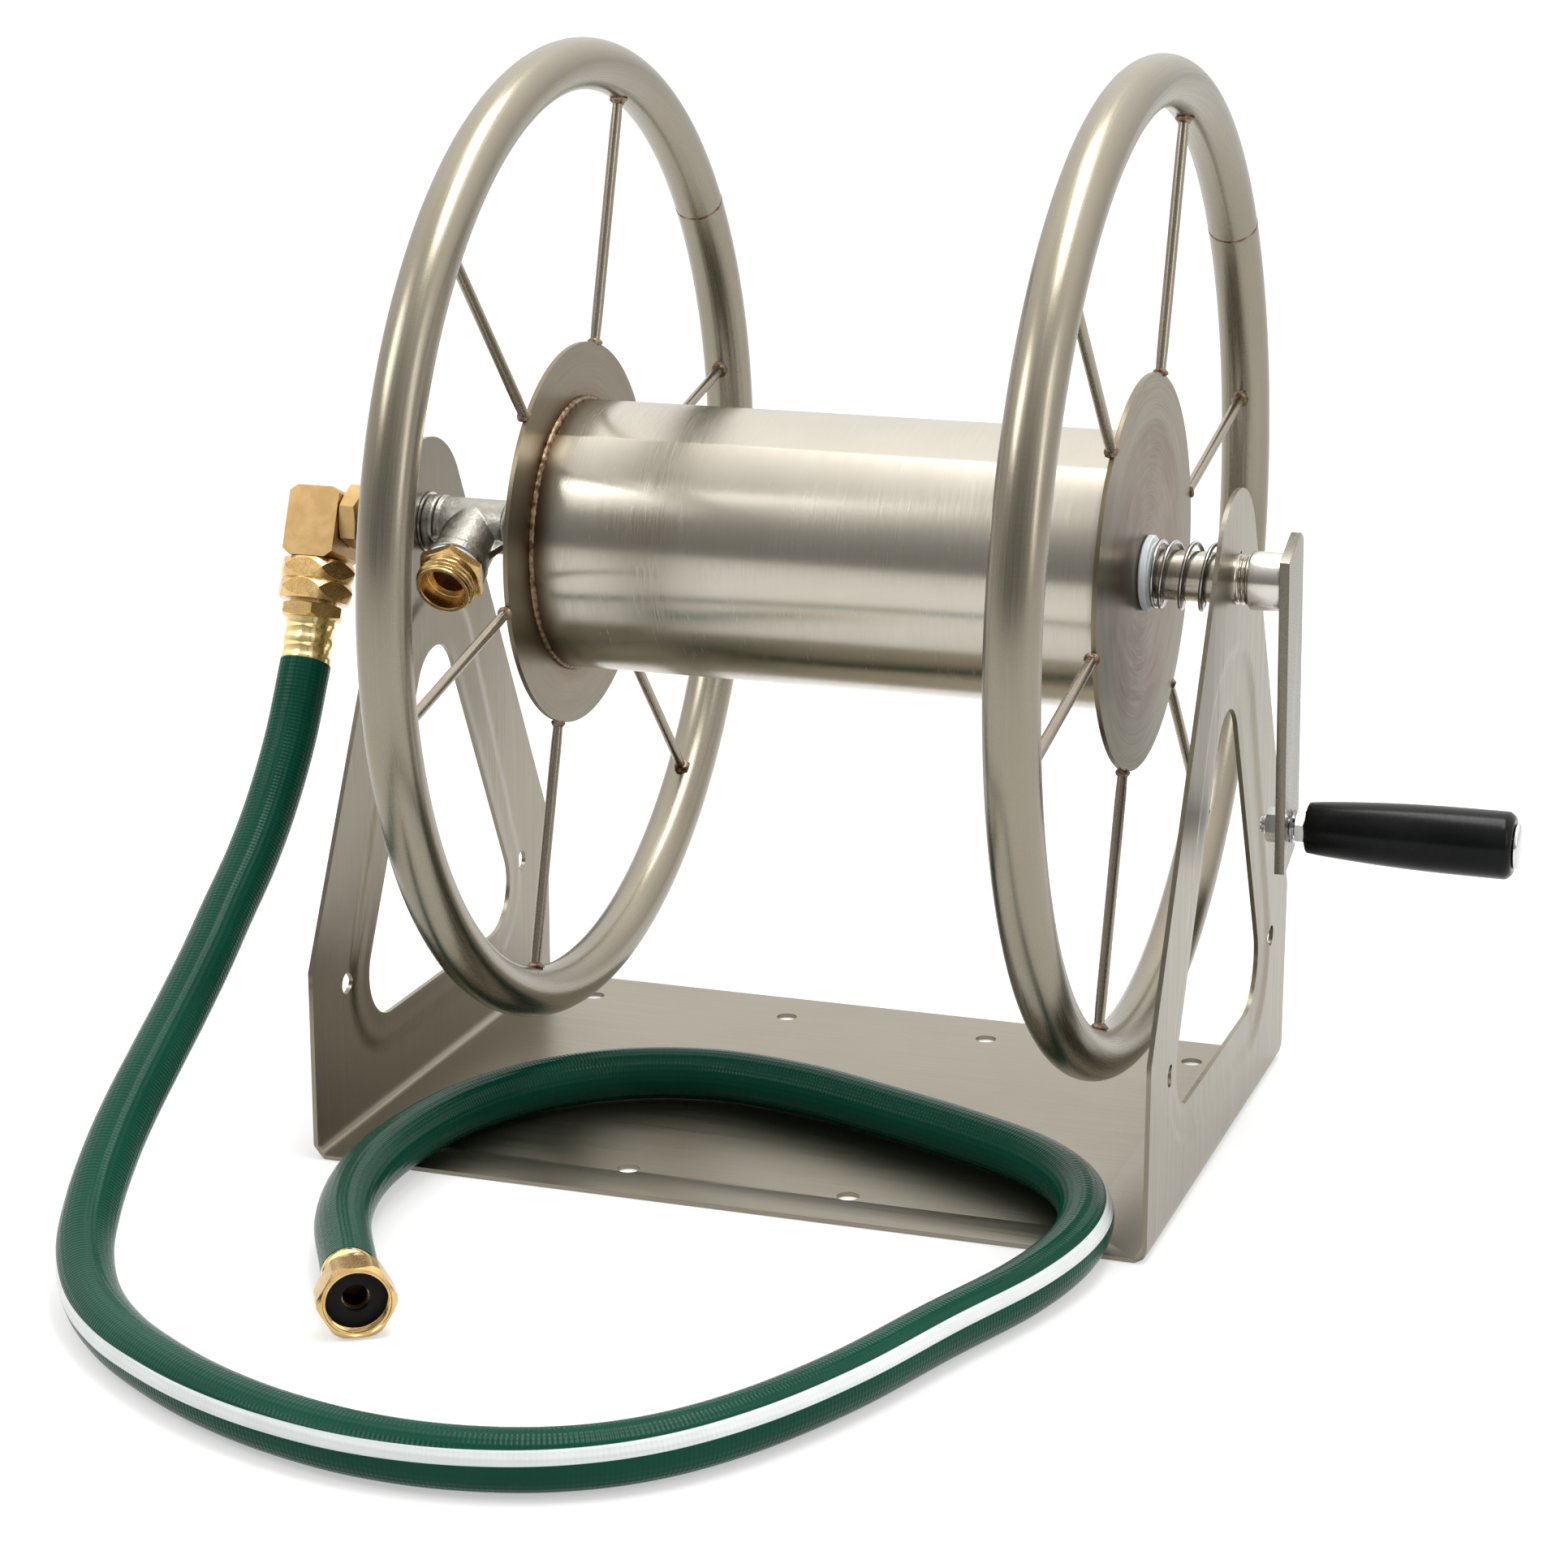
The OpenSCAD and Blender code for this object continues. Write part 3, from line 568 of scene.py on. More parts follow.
def dark_paint(name, color, roughness):
    """Black rubber or plastic: fine skin, slightly paler where it is worn."""
    paint = Paint(name, color, roughness=roughness)
    paint.set("Specular IOR Level", 0.11)
    coords = paint.place()
    fine = paint.noise(coords, 900, 3)
    wear = paint.noise(coords, 45, 4, 0.6)
    lighter = tuple(min(1.0, c * 1.5 + 0.002) for c in color)
    paint.set("Base Color", paint.mix(paint.ramp(wear, 0.35, 0.75), color, lighter))
    paint.set("Roughness", paint.ramp(fine, 0.2, 0.8, roughness - 0.05, roughness + 0.08))
    paint.bump(fine, 0.15, 0.1 * MM)
    return paint.material


def nylon_paint():
    """White nylon that lets a little light in."""
    paint = Paint("white_nylon", (0.80, 0.82, 0.84), roughness=0.38, subsurface_weight=0.15)
    coords = paint.place()
    cloud = paint.noise(coords, 140, 3)
    paint.set("Base Color", paint.mix(cloud, (0.68, 0.71, 0.74), (0.86, 0.88, 0.90)))
    paint.set("Roughness", paint.ramp(cloud, 0.3, 0.7, 0.32, 0.45))
    paint.bump(paint.noise(coords, 1300, 2), 0.08, 0.1 * MM)
    return paint.material


SHEET = sheet_paint()
DRUM = drum_paint()
RIM = rim_paint()
DISC = turned_paint("disc_steel", mm((60, 68)), 0.3, (0.150, 0.124, 0.080), (0.20, 0.172, 0.122))
PIPE = turned_paint("pipe_steel", (), 0.2, (0.42, 0.39, 0.33), (0.55, 0.52, 0.46))
ROD = plain_steel("rod_steel", (0.29, 0.255, 0.20), 0.28)
ARM = plain_steel("arm_steel", (0.175, 0.160, 0.128), 0.28)
BRIGHT = plain_steel("bright_zinc", (0.62, 0.625, 0.62), 0.16)
WELD = weld_paint()
CAST = cast_paint()
BRASS = brass_paint("brass", (0.66, 0.46, 0.20), (0.53, 0.345, 0.14), 0.24)
DULL_BRASS = brass_paint("dull_brass", (0.50, 0.335, 0.155), (0.40, 0.26, 0.11), 0.36)
FERRULE = brass_paint("ferrule_brass", (0.90, 0.72, 0.36), (0.80, 0.61, 0.27), 0.15)
# Dark brown brass for the linings of bores: painted shade, standing in for the shadow deep inside a passage.
SHADE_BRASS = brass_paint("painted_shade_brass", (0.10, 0.045, 0.02), (0.05, 0.022, 0.012), 0.45)
COLLAR = turned_paint("collar_steel", (), 0.17, (0.48, 0.46, 0.42), (0.60, 0.58, 0.54))
WIRE = plain_steel("wire_steel", (0.50, 0.50, 0.49), 0.18)
RUBBER = dark_paint("black_rubber", (0.005, 0.005, 0.005), 0.45)
GRIP = dark_paint("grip_black", (0.0025, 0.003, 0.003), 0.2)
NYLON = nylon_paint()

# ---- Reel ------------------------------------------------------------------


def rim(side):
    """Bent tube, with the bead where its two ends were welded and ground down."""
    x = RIM_X[side]
    rows = []
    for i in range(288):
        a = math.tau * i / 288
        out = Vector((0, math.cos(a), math.sin(a)))
        centre = Vector((x, 0, AXLE_Z)) + RIM_R * out
        rows.append([
            centre + RIM_TUBE_R * (math.cos(t) * out + math.sin(t) * Vector((1, 0, 0)))
            for t in (math.tau * k / 40 for k in range(40))
        ])
    piece("rim_tube_" + side, grid("rim_tube_" + side, rows, closed=True), "reel", RIM,
          ["rim_" + side])
    a = math.radians(38.5)
    place = aimed(Vector((x, RIM_R * math.cos(a), AXLE_Z + RIM_R * math.sin(a))),
                  (0, -math.sin(a), math.cos(a)))

    def uneven(t, h):
        return 0.12 * MM * noise.noise(Vector((4 * math.cos(t), 4 * math.sin(t), h * 1500)))

    profile = mm((-1.1, 10.9), (-0.6, 11.2), (0.1, 11.28), (0.7, 11.15), (1.1, 10.9))
    bead = lathe("rim_joint_" + side, profile, place, 80, closed=True, wobble=uneven)
    piece("rim_joint_" + side, bead, "reel", WELD)


def blob(centre, across, along, direction, seed):
    """A lump of weld: a flattened ball with an uneven skin."""
    place = aimed(centre, direction)
    rows = []
    for i in range(1, 12):
        lat = math.pi * i / 12
        row = []
        for k in range(20):
            a = math.tau * k / 20
            d = Vector((math.sin(lat) * math.cos(a), math.sin(lat) * math.sin(a), math.cos(lat)))
            swell = 1 + 0.25 * noise.noise(d * 1.7 + Vector((seed, 0, 0)))
            row.append(place @ (swell * Vector((d.x * across, d.y * across, d.z * along))))
        rows.append(row)
    return grid("blob", rows)


def joined(name, meshes):
    """One mesh made of several."""
    whole = bmesh.new()
    for mesh in meshes:
        whole.from_mesh(mesh)
        bpy.data.meshes.remove(mesh)
    mesh = bpy.data.meshes.new(name)
    whole.to_mesh(mesh)
    whole.free()
    return mesh


def spokes(side):
    """Six rods, a little thinner at their ends, and a lump of weld at each end."""
    rods, welds = [], []
    inner, outer = DISC_R - 0.2 * MM, RIM_R - RIM_TUBE_R + 0.3 * MM
    for i in range(6):
        a = SPOKE_PHASE + math.tau * i / 6
        out = Vector((0, math.cos(a), math.sin(a)))
        hub = Vector((RIM_X[side], 0, AXLE_Z))
        place = aimed(hub + inner * out, out)
        length = outer - inner
        profile = []
        for k in range(25):
            t = k / 24
            end = min(t, 1 - t) * length
            neck = 1 - 0.12 * math.exp(-((end / (7 * MM)) ** 2))
            profile.append((t * length, SPOKE_R * neck))
        rods.append(lathe("rod", profile, place, segments=20))
        welds.append(blob(hub + (DISC_R + 0.6 * MM) * out, 3.1 * MM, 2.2 * MM, out, i + 10.0))
        welds.append(blob(hub + (outer - 0.6 * MM) * out, 3.9 * MM, 2.3 * MM, out, i + 30.0))
    piece("spoke_rods_" + side, joined("spoke_rods_" + side, rods), "reel", ROD,
          ["spokes_" + side])
    piece("spoke_welds_" + side, joined("spoke_welds_" + side, welds), "reel", WELD)


def drum_weld(side):
    """Fillet weld where the drum meets a hub disc: a bead with ripples and uneven stretches."""
    x, inward = DRUM_X[side], {"left": 1, "right": -1}[side]
    rows = []
    for i in range(360):
        a = math.tau * i / 360
        out = Vector((0, math.cos(a), math.sin(a)))
        swell = 1 + 0.35 * noise.noise(out * 3.0 + Vector((x * 50, 0, 0))) + 0.12 * math.sin(a * 90)
        size = 1.5 * MM * swell
        centre = Vector((x + inward * 0.3 * MM, 0, AXLE_Z)) + DRUM_R * out
        rows.append([
            centre + size * (math.cos(t) * out + math.sin(t) * Vector((1, 0, 0)))
            for t in (math.tau * k / 10 for k in range(10))
        ])
    piece("drum_weld_" + side, grid("drum_weld_" + side, rows, closed=True), "reel", WELD)


for side in ("left", "right"):
    rim(side)
    spokes(side)
    drum_weld(side)

drum_profile = ring_profile(DRUM_R, DRUM_R - SHEET_T, DRUM_X["right"] - DRUM_X["left"])
drum_mesh = lathe("drum_shell", drum_profile, axle_frame(DRUM_X["left"]), 256, closed=True)
piece("drum_shell", drum_mesh, "reel", DRUM, ["drum"])


def softened(name, node, body, material, width):
    """A copy of a CAD part with its sharp edges broken."""
    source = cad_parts[node]
    soft = bmesh.new()
    soft.from_mesh(source.data)
    bmesh.ops.transform(soft, matrix=source.matrix_world, verts=soft.verts)
    bmesh.ops.remove_doubles(soft, verts=soft.verts, dist=1e-6)
    bmesh.ops.dissolve_limit(soft, angle_limit=math.radians(1), verts=soft.verts, edges=soft.edges)
    edges = [e for e in soft.edges if len(e.link_faces) == 2 and e.calc_face_angle() > math.radians(28)]
    bmesh.ops.bevel(soft, geom=edges, offset=width, segments=2, profile=0.6, affect="EDGES",
                    clamp_overlap=True)
    bmesh.ops.recalc_face_normals(soft, faces=soft.faces)
    mesh = bpy.data.meshes.new(name)
    soft.to_mesh(mesh)
    soft.free()
    return piece(name, mesh, body, material, [node], sharp=24)


def coil(name, wire_r, points, sides):
    """Wire along a list of points, with each section in one plane with the axle."""
    rows = []
    for p in points:
        out = Vector((0, p.y, p.z - AXLE_Z)).normalized()
        rows.append([
            p + wire_r * (math.cos(t) * out + math.sin(t) * Vector((1, 0, 0)))
            for t in (math.tau * k / sides for k in range(sides))
        ])
    return grid(name, rows)


# ---- Swivel and its hose tail

SWING = math.radians(22)
PORT = aimed(Vector((-233, 0, 254.5)) * MM, (0, -math.sin(SWING), -math.cos(SWING)))
PORT_START = 21.6 * MM
PORT_NUT = 9.2 * MM

softened("swivel_block", "swivel_body", "frame", DULL_BRASS, 0.45 * MM)
nuts = [
    hex_nut("nut", PORT @ Matrix.Translation((0, 0, PORT_START + k * PORT_NUT)), 31.6 * MM, PORT_NUT,
            10.5 * MM, low=1.45, high=1.45, turn=math.radians(30))
    for k in range(2)
]
piece("port_nut_double", joined("port_nut_double", nuts), "frame", BRASS, ["port_nut"], sharp=20)
tail = [
    hex_nut("tail_hex", PORT @ Matrix.Translation((0, 0, 41.6 * MM)), 26 * MM, 6.3 * MM, 4.5 * MM,
            low=0.35, high=0.5, turn=math.radians(38)),
    lathe("tail_neck", ring_profile(10.4 * MM, 4.5 * MM, 5 * MM),
          PORT @ Matrix.Translation((0, 0, 37 * MM)), closed=True),
]
piece("hose_tail_hex", joined("hose_tail_hex", tail), "frame", BRASS, ["hose_tail"], sharp=20)


def crimped(name, place, length, node, seed):
    """Sleeve pressed on to the hose: two rows of flat jaw marks with bulges between them."""
    outer, bore, sides = 11.35 * MM, 7.5 * MM, 120

    def dent(a, h):
        rows = sum(math.exp(-((h - length * c) / (0.12 * length)) ** 4) for c in (0.30, 0.72))
        jaws = 0.55 + 0.45 * abs(math.cos(3 * a + seed)) ** 0.7
        return -0.85 * MM * rows * jaws

    def ring(r, h, dented=False):
        row = []
        for a in (math.tau * k / sides for k in range(sides)):
            reach = r + dent(a, h) if dented else r
            row.append(place @ Vector((reach * math.cos(a), reach * math.sin(a), h)))
        return row

    rows = [ring(bore, 0), ring(0.96 * outer, 0)]
    rows += [ring(outer, k / 40 * length, dented=True) for k in range(41)]
    rows += [ring(0.9 * outer, length), ring(bore, length)]
    piece(name, grid(name, rows, closed=True), "frame", FERRULE, [node], sharp=40)


crimped("inlet_sleeve", PORT @ Matrix.Translation((0, 0, 47.9 * MM)), 20.1 * MM, "inlet_ferrule", 0.4)

screw = lathe("end_screw_dome", mm((-2.6, 0.6), (-2.5, 2.0), (-2.0, 3.4), (-1.2, 4.1), (0, 4.3), (2, 3.0)),
              axle_frame(-245.1 * MM), 48)
piece("end_screw_dome", screw, "frame", RUBBER, ["swivel_end_screw"])

# ---- Coupling at the far end

TURN = math.radians(31)
FACE = Vector((-84, -303.7, 15.2)) * MM
OUT = Vector((math.sin(TURN), -math.cos(TURN), 0))
COUPLING = aimed(FACE, OUT)


def coupling_nut():
    """Hexagon with its corners turned down, and the hose thread inside its mouth."""
    place = COUPLING @ Matrix.Translation((0, 0, -14 * MM))
    count, turn = 72, math.radians(30)
    offset = math.pi / 6 + turn
    mouth = turned_rows(place, mm((14, 13.4), (13.6, 13.1)), count, offset)
    mouth += thread_rows(place, 8.3 * MM, 5.2 * MM, 13.1 * MM, 0.8 * MM, 1.7 * MM, count, 10, offset)[::-1]
    mouth += turned_rows(place, mm((2.9, 12.8), (2.8, 7.6)), count, offset)
    mesh = hex_nut("coupling_hex", place, 28.8 * MM, 14 * MM, 7.6 * MM, low=1.0, high=0.95, turn=turn,
                   inside=mouth, corner=15.7 * MM)
    piece("coupling_hex", mesh, "coupling", BRASS, ["coupling_nut"], sharp=20)


def coupling_painted_shade():
    """Dark lining in the water passage of the coupling's tail: painted shade, standing in for the shadow deep
    in the bore.
    """
    profile = mm((-28.3, 4.95), (-9.2, 4.95), (-9.3, 4.7), (-20.0, 4.7), (-20.1, 0.2), (-28.3, 0.2))
    piece("coupling_painted_shade", lathe("coupling_painted_shade", profile, COUPLING, 48), "frame", SHADE_BRASS)


coupling_nut()
coupling_painted_shade()
crimped("coupling_sleeve", COUPLING @ Matrix.Translation((0, 0, -29 * MM)), 14.6 * MM,
        "coupling_ferrule", 1.1)

Vector(HOSE_ROUTE[0]) * MM

# ---- Tee and outlet

TEE = Vector((-158.3, 0, 254.5)) * MM
DROP = math.radians(27)
BRANCH = Vector((0, -math.cos(DROP), -math.sin(DROP)))


def tee():
    """Cast tee: run, branch, end beads and webs, melted into one skin."""
    half = 22.9
    parts = [
        lathe("run", mm((-half, 10.6), (-half, 12.1), (-half + 0.6, 12.5), (-half + 4.2, 12.4),
                        (-half + 4.8, 12.0), (half - 4.8, 12.0), (half - 4.2, 12.4), (half - 0.6, 12.5),
                        (half, 12.1), (half, 10.6)), axle_frame(TEE.x)),
        lathe("branch", mm((-4, 11.6), (12, 12.7), (25.6, 13.1), (26.4, 14.2), (30.5, 14.3), (31.1, 13.7)),
              aimed(TEE, BRANCH)),
    ]
    for x in ((-half + 6.6) * MM, (half - 6.6) * MM):
        parts.append(lathe("bead", mm((-1.0, 11), (-0.9, 12.3), (0, 12.9), (0.9, 12.3), (1.0, 11)),
                           axle_frame(TEE.x + x)))
    thick = BRANCH.cross(Vector((1, 0, 0))) * 1.9 * MM
    for sign in (-1, 1):
        corners = [TEE + Vector((sign * x * MM, 0, 0)) + BRANCH * s * MM
                   for x, s in ((5, 5), (21, 10), (16.5, 15), (13.5, 20), (11.5, 26), (5, 26))]
        rows = [[p + thick for p in corners], [p - thick for p in corners]]
        parts.append(grid("web", rows))
    whole = joined("tee_casting", parts)
    obj = piece("tee_casting", whole, "reel", CAST, ["axle_tee"], sharp=0)
    melt = obj.modifiers.new("melt", "REMESH")
    melt.mode = "VOXEL"
    melt.voxel_size = 0.00045
    melt.use_smooth_shade = True
    smooth = obj.modifiers.new("soften", "SMOOTH")
    smooth.factor = 0.5
    smooth.iterations = 5
    graph = bpy.context.evaluated_depsgraph_get()
    done = bpy.data.meshes.new_from_object(obj.evaluated_get(graph))
    obj.modifiers.clear()
    obj.data = done
    done.materials.clear()
    done.materials.append(CAST)
    skin = bmesh.new()
    skin.from_mesh(done)
    for v in skin.verts:
        grain = noise.noise(v.co * 900) * 0.5 + noise.noise(v.co * 260)
        v.co += v.normal * 0.09 * MM * grain
    skin.to_mesh(done)
    skin.free()
    done.shade_smooth()


tee()


def outlet():
    """Brass adapter on the tee's branch, a dark lining in its passage that is painted shade, and its white
    gasket.
    """
    place = aimed(TEE, BRANCH)
    hexagon = hex_nut("outlet_hex", place @ Matrix.Translation((0, 0, 32.8 * MM)), 27.4 * MM, 4.2 * MM,
                      7.2 * MM, low=0.0, high=0.55, turn=math.radians(-9))
    rows = turned_rows(place, mm((36.6, 7.2), (36.6, 13.1), (37.4, 12.9), (38.2, 12.2)))
    rows += thread_rows(place, 38.6 * MM, 6.5 * MM, 13.3 * MM, 1.05 * MM, 2.2 * MM)
    rows += turned_rows(place, mm((45.4, 12.3), (45.9, 12.2), (46, 12.0), (46, 10.6), (45.7, 10.3),
                                  (38.2, 10.2), (38, 9.9), (38, 7.5), (37.6, 7.2)))
    parts = [hexagon, grid("outlet_thread", rows, closed=True)]
    # A dark disc and cone deep in the passage: painted shade, standing in for the shadow inside the bore.
    dark = lathe("outlet_shade_lining", mm((26, 0.4), (26.2, 7.6), (33, 7.25)), place, 64)
    piece("outlet_fitting", joined("outlet_fitting", parts), "reel", BRASS, ["outlet_adapter"],
          sharp=25)
    piece("outlet_painted_shade", dark, "reel", SHADE_BRASS)
    seal = lathe("outlet_seal", ring_profile(13.7 * MM, 10.6 * MM, 1.5 * MM, 0.3 * MM),
                 place @ Matrix.Translation((0, 0, 31.2 * MM)), closed=True)
    piece("outlet_seal", seal, "reel", NYLON, ["outlet_gasket"])


outlet()
stem_hex = hex_nut("stem", axle_frame(-220.6 * MM), 25.4 * MM, 8 * MM, 4.5 * MM, low=0.25, high=0.3,
                   turn=math.radians(30))
stem_pipe = lathe("stem", mm((-230, 4.5), (-230, 8.0), (-219, 8.0), (-219, 10.6), (-181.5, 10.6),
                             (-181.5, 4.5)), axle_frame(), closed=True)
piece("stem_fitting", joined("stem_fitting", [stem_hex, stem_pipe]), "reel", DULL_BRASS,
      ["swivel_stem"], sharp=20)

# ---- Axle, spring and crank


def axle_tube():
    """Pipe along the axle, with the thread that the crank's collar screws on to."""
    place = axle_frame()
    rows = turned_rows(place, mm((-135.2, 7.9), (-135.2, 10.4), (-134.9, 10.65), (-60, 10.65), (60, 10.65),
                                 (140, 10.65), (185.2, 10.65), (185.6, 10.3)))
    rows += thread_rows(place, 185.7 * MM, 15 * MM, 10.6 * MM, 0.95 * MM, 1.81 * MM)
    rows += turned_rows(place, mm((201, 9.6), (201, 7.9)))
    piece("axle_tube", grid("axle_tube", rows, closed=True), "reel", PIPE, ["axle_pipe"],
          sharp=40)


axle_tube()
collar = lathe("collar_turned", mm((0, 10.4), (0, 11.6), (0.7, 12.3), (13.9, 12.3), (14.5, 12.0),
                                   (14.5, 10.4)), axle_frame(190.5 * MM), closed=True)
piece("collar_turned", collar, "reel", COLLAR, ["crank_collar"])


def spring():
    """Closed turn, three open turns, closed turn."""
    first, final, mean = 150.42 * MM, 180.95 * MM, 13.8 * MM
    low_pitch = 2.2 * MM
    open_pitch = (final - first - 2 * low_pitch) / 3
    points = []
    for i in range(5 * 60 + 1):
        t = i / 60
        x = first + (min(t, 1) + max(0, t - 4)) * low_pitch + max(0, min(t - 1, 3)) * open_pitch
        a = math.tau * t
        points.append(Vector((x, -mean * math.sin(a), AXLE_Z - mean * math.cos(a))))
    piece("spring_wire", coil("spring_wire", 0.98 * MM, points, 16), "reel", WIRE,
          ["axle_spring"], sharp=60)


spring()
softened("crank_bar", "crank_arm", "reel", ARM, 0.55 * MM)
LEAN = math.radians(5)
GRIP_AXIS = (107.6 * MM * math.sin(LEAN), AXLE_Z - 107.6 * MM * math.cos(LEAN))


def on_grip(x):
    return axle_frame(x * MM, *GRIP_AXIS)


for node, x, length, low, high, turn in (("arm_nut", 198.7, 6.3, 0.45, 0.3, 12),
                                         ("jam_nut", 211.5, 4.1, 0.4, 0.4, 40)):
    nut = hex_nut(node + "_hex", on_grip(x), 13 * MM, length * MM, 4.0 * MM, low, high, math.radians(turn))
    piece(node + "_hex", nut, "reel", BRIGHT, [node], sharp=20)


def lock_washer():
    """Split ring whose two ends stand apart."""
    section = mm((4.4, 0.1), (4.6, 0), (6.8, 0), (7.0, 0.15), (7.0, 1.25), (6.8, 1.4), (4.6, 1.4), (4.4, 1.3))
    rows = []
    for i in range(121):
        t = i / 120
        a = math.tau * (0.14 + 0.985 * t)
        out, place = Vector((math.cos(a), math.sin(a), 0)), on_grip(209.3 + 0.75 * t)
        rows.append([place @ (out * r + Vector((0, 0, h))) for r, h in section])
    piece("lock_washer_split", grid("lock_washer_split", rows), "reel", BRIGHT,
          ["lock_washer"])


lock_washer()


def grip_bolt():
    """Bolt that the grip turns on, with a low domed head at its outer end."""
    head, head_r, dome = 303.5, 9.55, 2.1
    profile = [(196.2, 0.5), (196.2, 3.4), (196.8, 3.95), (head - 0.2, 3.95), (head, 9.4),
               (head + 0.5, 9.7), (head + 1.1, head_r)]
    for a in (math.radians(11 * k) for k in range(1, 9)):
        profile.append((head + 1.1 + dome * math.sin(a), head_r * math.cos(a)))
    mesh = lathe("grip_bolt_turned", mm(*profile), on_grip(0))
    piece("grip_bolt_turned", mesh, "reel", BRIGHT, ["grip_bolt"], sharp=35)


grip_bolt()


def grip_handle():
    """Barrel-shaped handle, thicker towards its outer end, with a rounded rim."""
    length, bore = 87.0, 4.06
    marks = [(0.8, 10.9), (8, 11.7), (18, 12.45), (28, 13.1), (38, 13.6), (48, 13.95), (58, 14.15),
             (68, 14.25), (78, 14.3), (83.6, 14.3)]
    profile = [(0, bore), (0, 9.9), (0.3, 10.6)]
    profile += [(p.x, p.y) for p in smooth_path([Vector((h, r, 0)) for h, r in marks], 4)]
    profile += [(84.6, 14.1), (85.6, 13.4), (86.4, 12.6), (86.9, 11.9), (length, 11.3), (length, bore)]
    mesh = lathe("grip_handle", mm(*profile), on_grip(216.2), 128, closed=True)
    piece("grip_handle", mesh, "grip", GRIP, ["grip"], sharp=50)


grip_handle()

washer = lathe("nylon_ring", mm((0, 10.7), (0, 15.2), (0.7, 16.0), (2.6, 16.0), (3.2, 15.4), (3.3, 13.0),
                                (4.0, 12.6), (4.0, 10.7)), axle_frame(145.4 * MM), closed=True)
piece("nylon_ring", washer, "reel", NYLON, ["nylon_washer"])

# ---- Side plates with a soft pressed panel ---------------------------------

# Circles as (y, z, radius), in millimetres on the plate
WINDOW = [(0.0, 176.4, 21.6), (-57.8, 65.5, 22.0), (57.8, 65.5, 22.0)]
PANEL_GROWTH = (24.0, 14.0, 14.0)
AXLE_HOLE = (0, 254.5, 10.73)
SIDE_HOLES = [(-99, 69, 4.75), (99, 69, 4.75)]
OIL_HOLE = (6.2, 263.8, 1.5)
PLATE_HALF, PLATE_KINK, PLATE_CAP = 132.8, 84.0, 38.0
BEND, BEND_MIDDLE = 5, 4
PRESS = 1.4 * MM


def belt(circles, steps=28):
    """Points round the outside of three circles with a belt about them, anticlockwise."""
    points = []
    for i, (cy, cz, r) in enumerate(circles):
        before, after = circles[i - 1], circles[(i + 1) % 3]

        def normal(a, b):
            along = math.atan2(b[1] - a[1], b[0] - a[0])
            gap = math.hypot(b[0] - a[0], b[1] - a[1])
            return along - math.pi / 2 + math.asin((a[2] - b[2]) / gap)

        first, final = normal(before, (cy, cz, r)), normal((cy, cz, r), after)
        while final < first:
            final += math.tau
        for k in range(steps + 1):
            a = first + (final - first) * k / steps
            points.append((cy + r * math.cos(a), cz + r * math.sin(a)))
    return points


def outside(y, z, loop):
    """Signed distance from a point to a convex loop: positive outside it."""
    worst = -1e9
    for (ay, az), (by, bz) in zip(loop, loop[1:] + loop[:1]):
        ey, ez = by - ay, bz - az
        size = math.hypot(ey, ez)
        if size > 1e-9:
            worst = max(worst, ((y - ay) * ez - (z - az) * ey) / size)
    return worst


def plate_outline():
    """Edge of a side plate laid flat, from the middle of its bend up and round its cap."""
    half, kink, cap, axle = PLATE_HALF, PLATE_KINK, PLATE_CAP, AXLE_HOLE[1]
    far = math.hypot(half, axle - kink)
    touch = math.pi / 2 - math.atan2(axle - kink, half) - math.asin(cap / far)
    foot = BEND - BEND_MIDDLE * math.pi / 2
    points = [(-half, foot), (half, foot)]
    points += [(half, foot + (kink - foot) * k / 12) for k in range(1, 13)]
    for k in range(41):
        a = touch + (math.pi - 2 * touch) * k / 40
        points.append((cap * math.cos(a), axle + cap * math.sin(a)))
    points += [(-half, kink - (kink - foot) * k / 12) for k in range(12)]
    return points


def round_hole(y, z, r, count=40):
    angles = [math.tau * k / count for k in range(count)]
    return [(y + r * math.cos(a), z + r * math.sin(a)) for a in angles]


def clear_of(y, z, holes, factor=1.0, gap=0.0):
    """Whether a point is outside every hole's radius, times a factor, plus a gap."""
    return all(math.hypot(y - cy, z - cz) > r * factor + gap for cy, cz, r in holes)


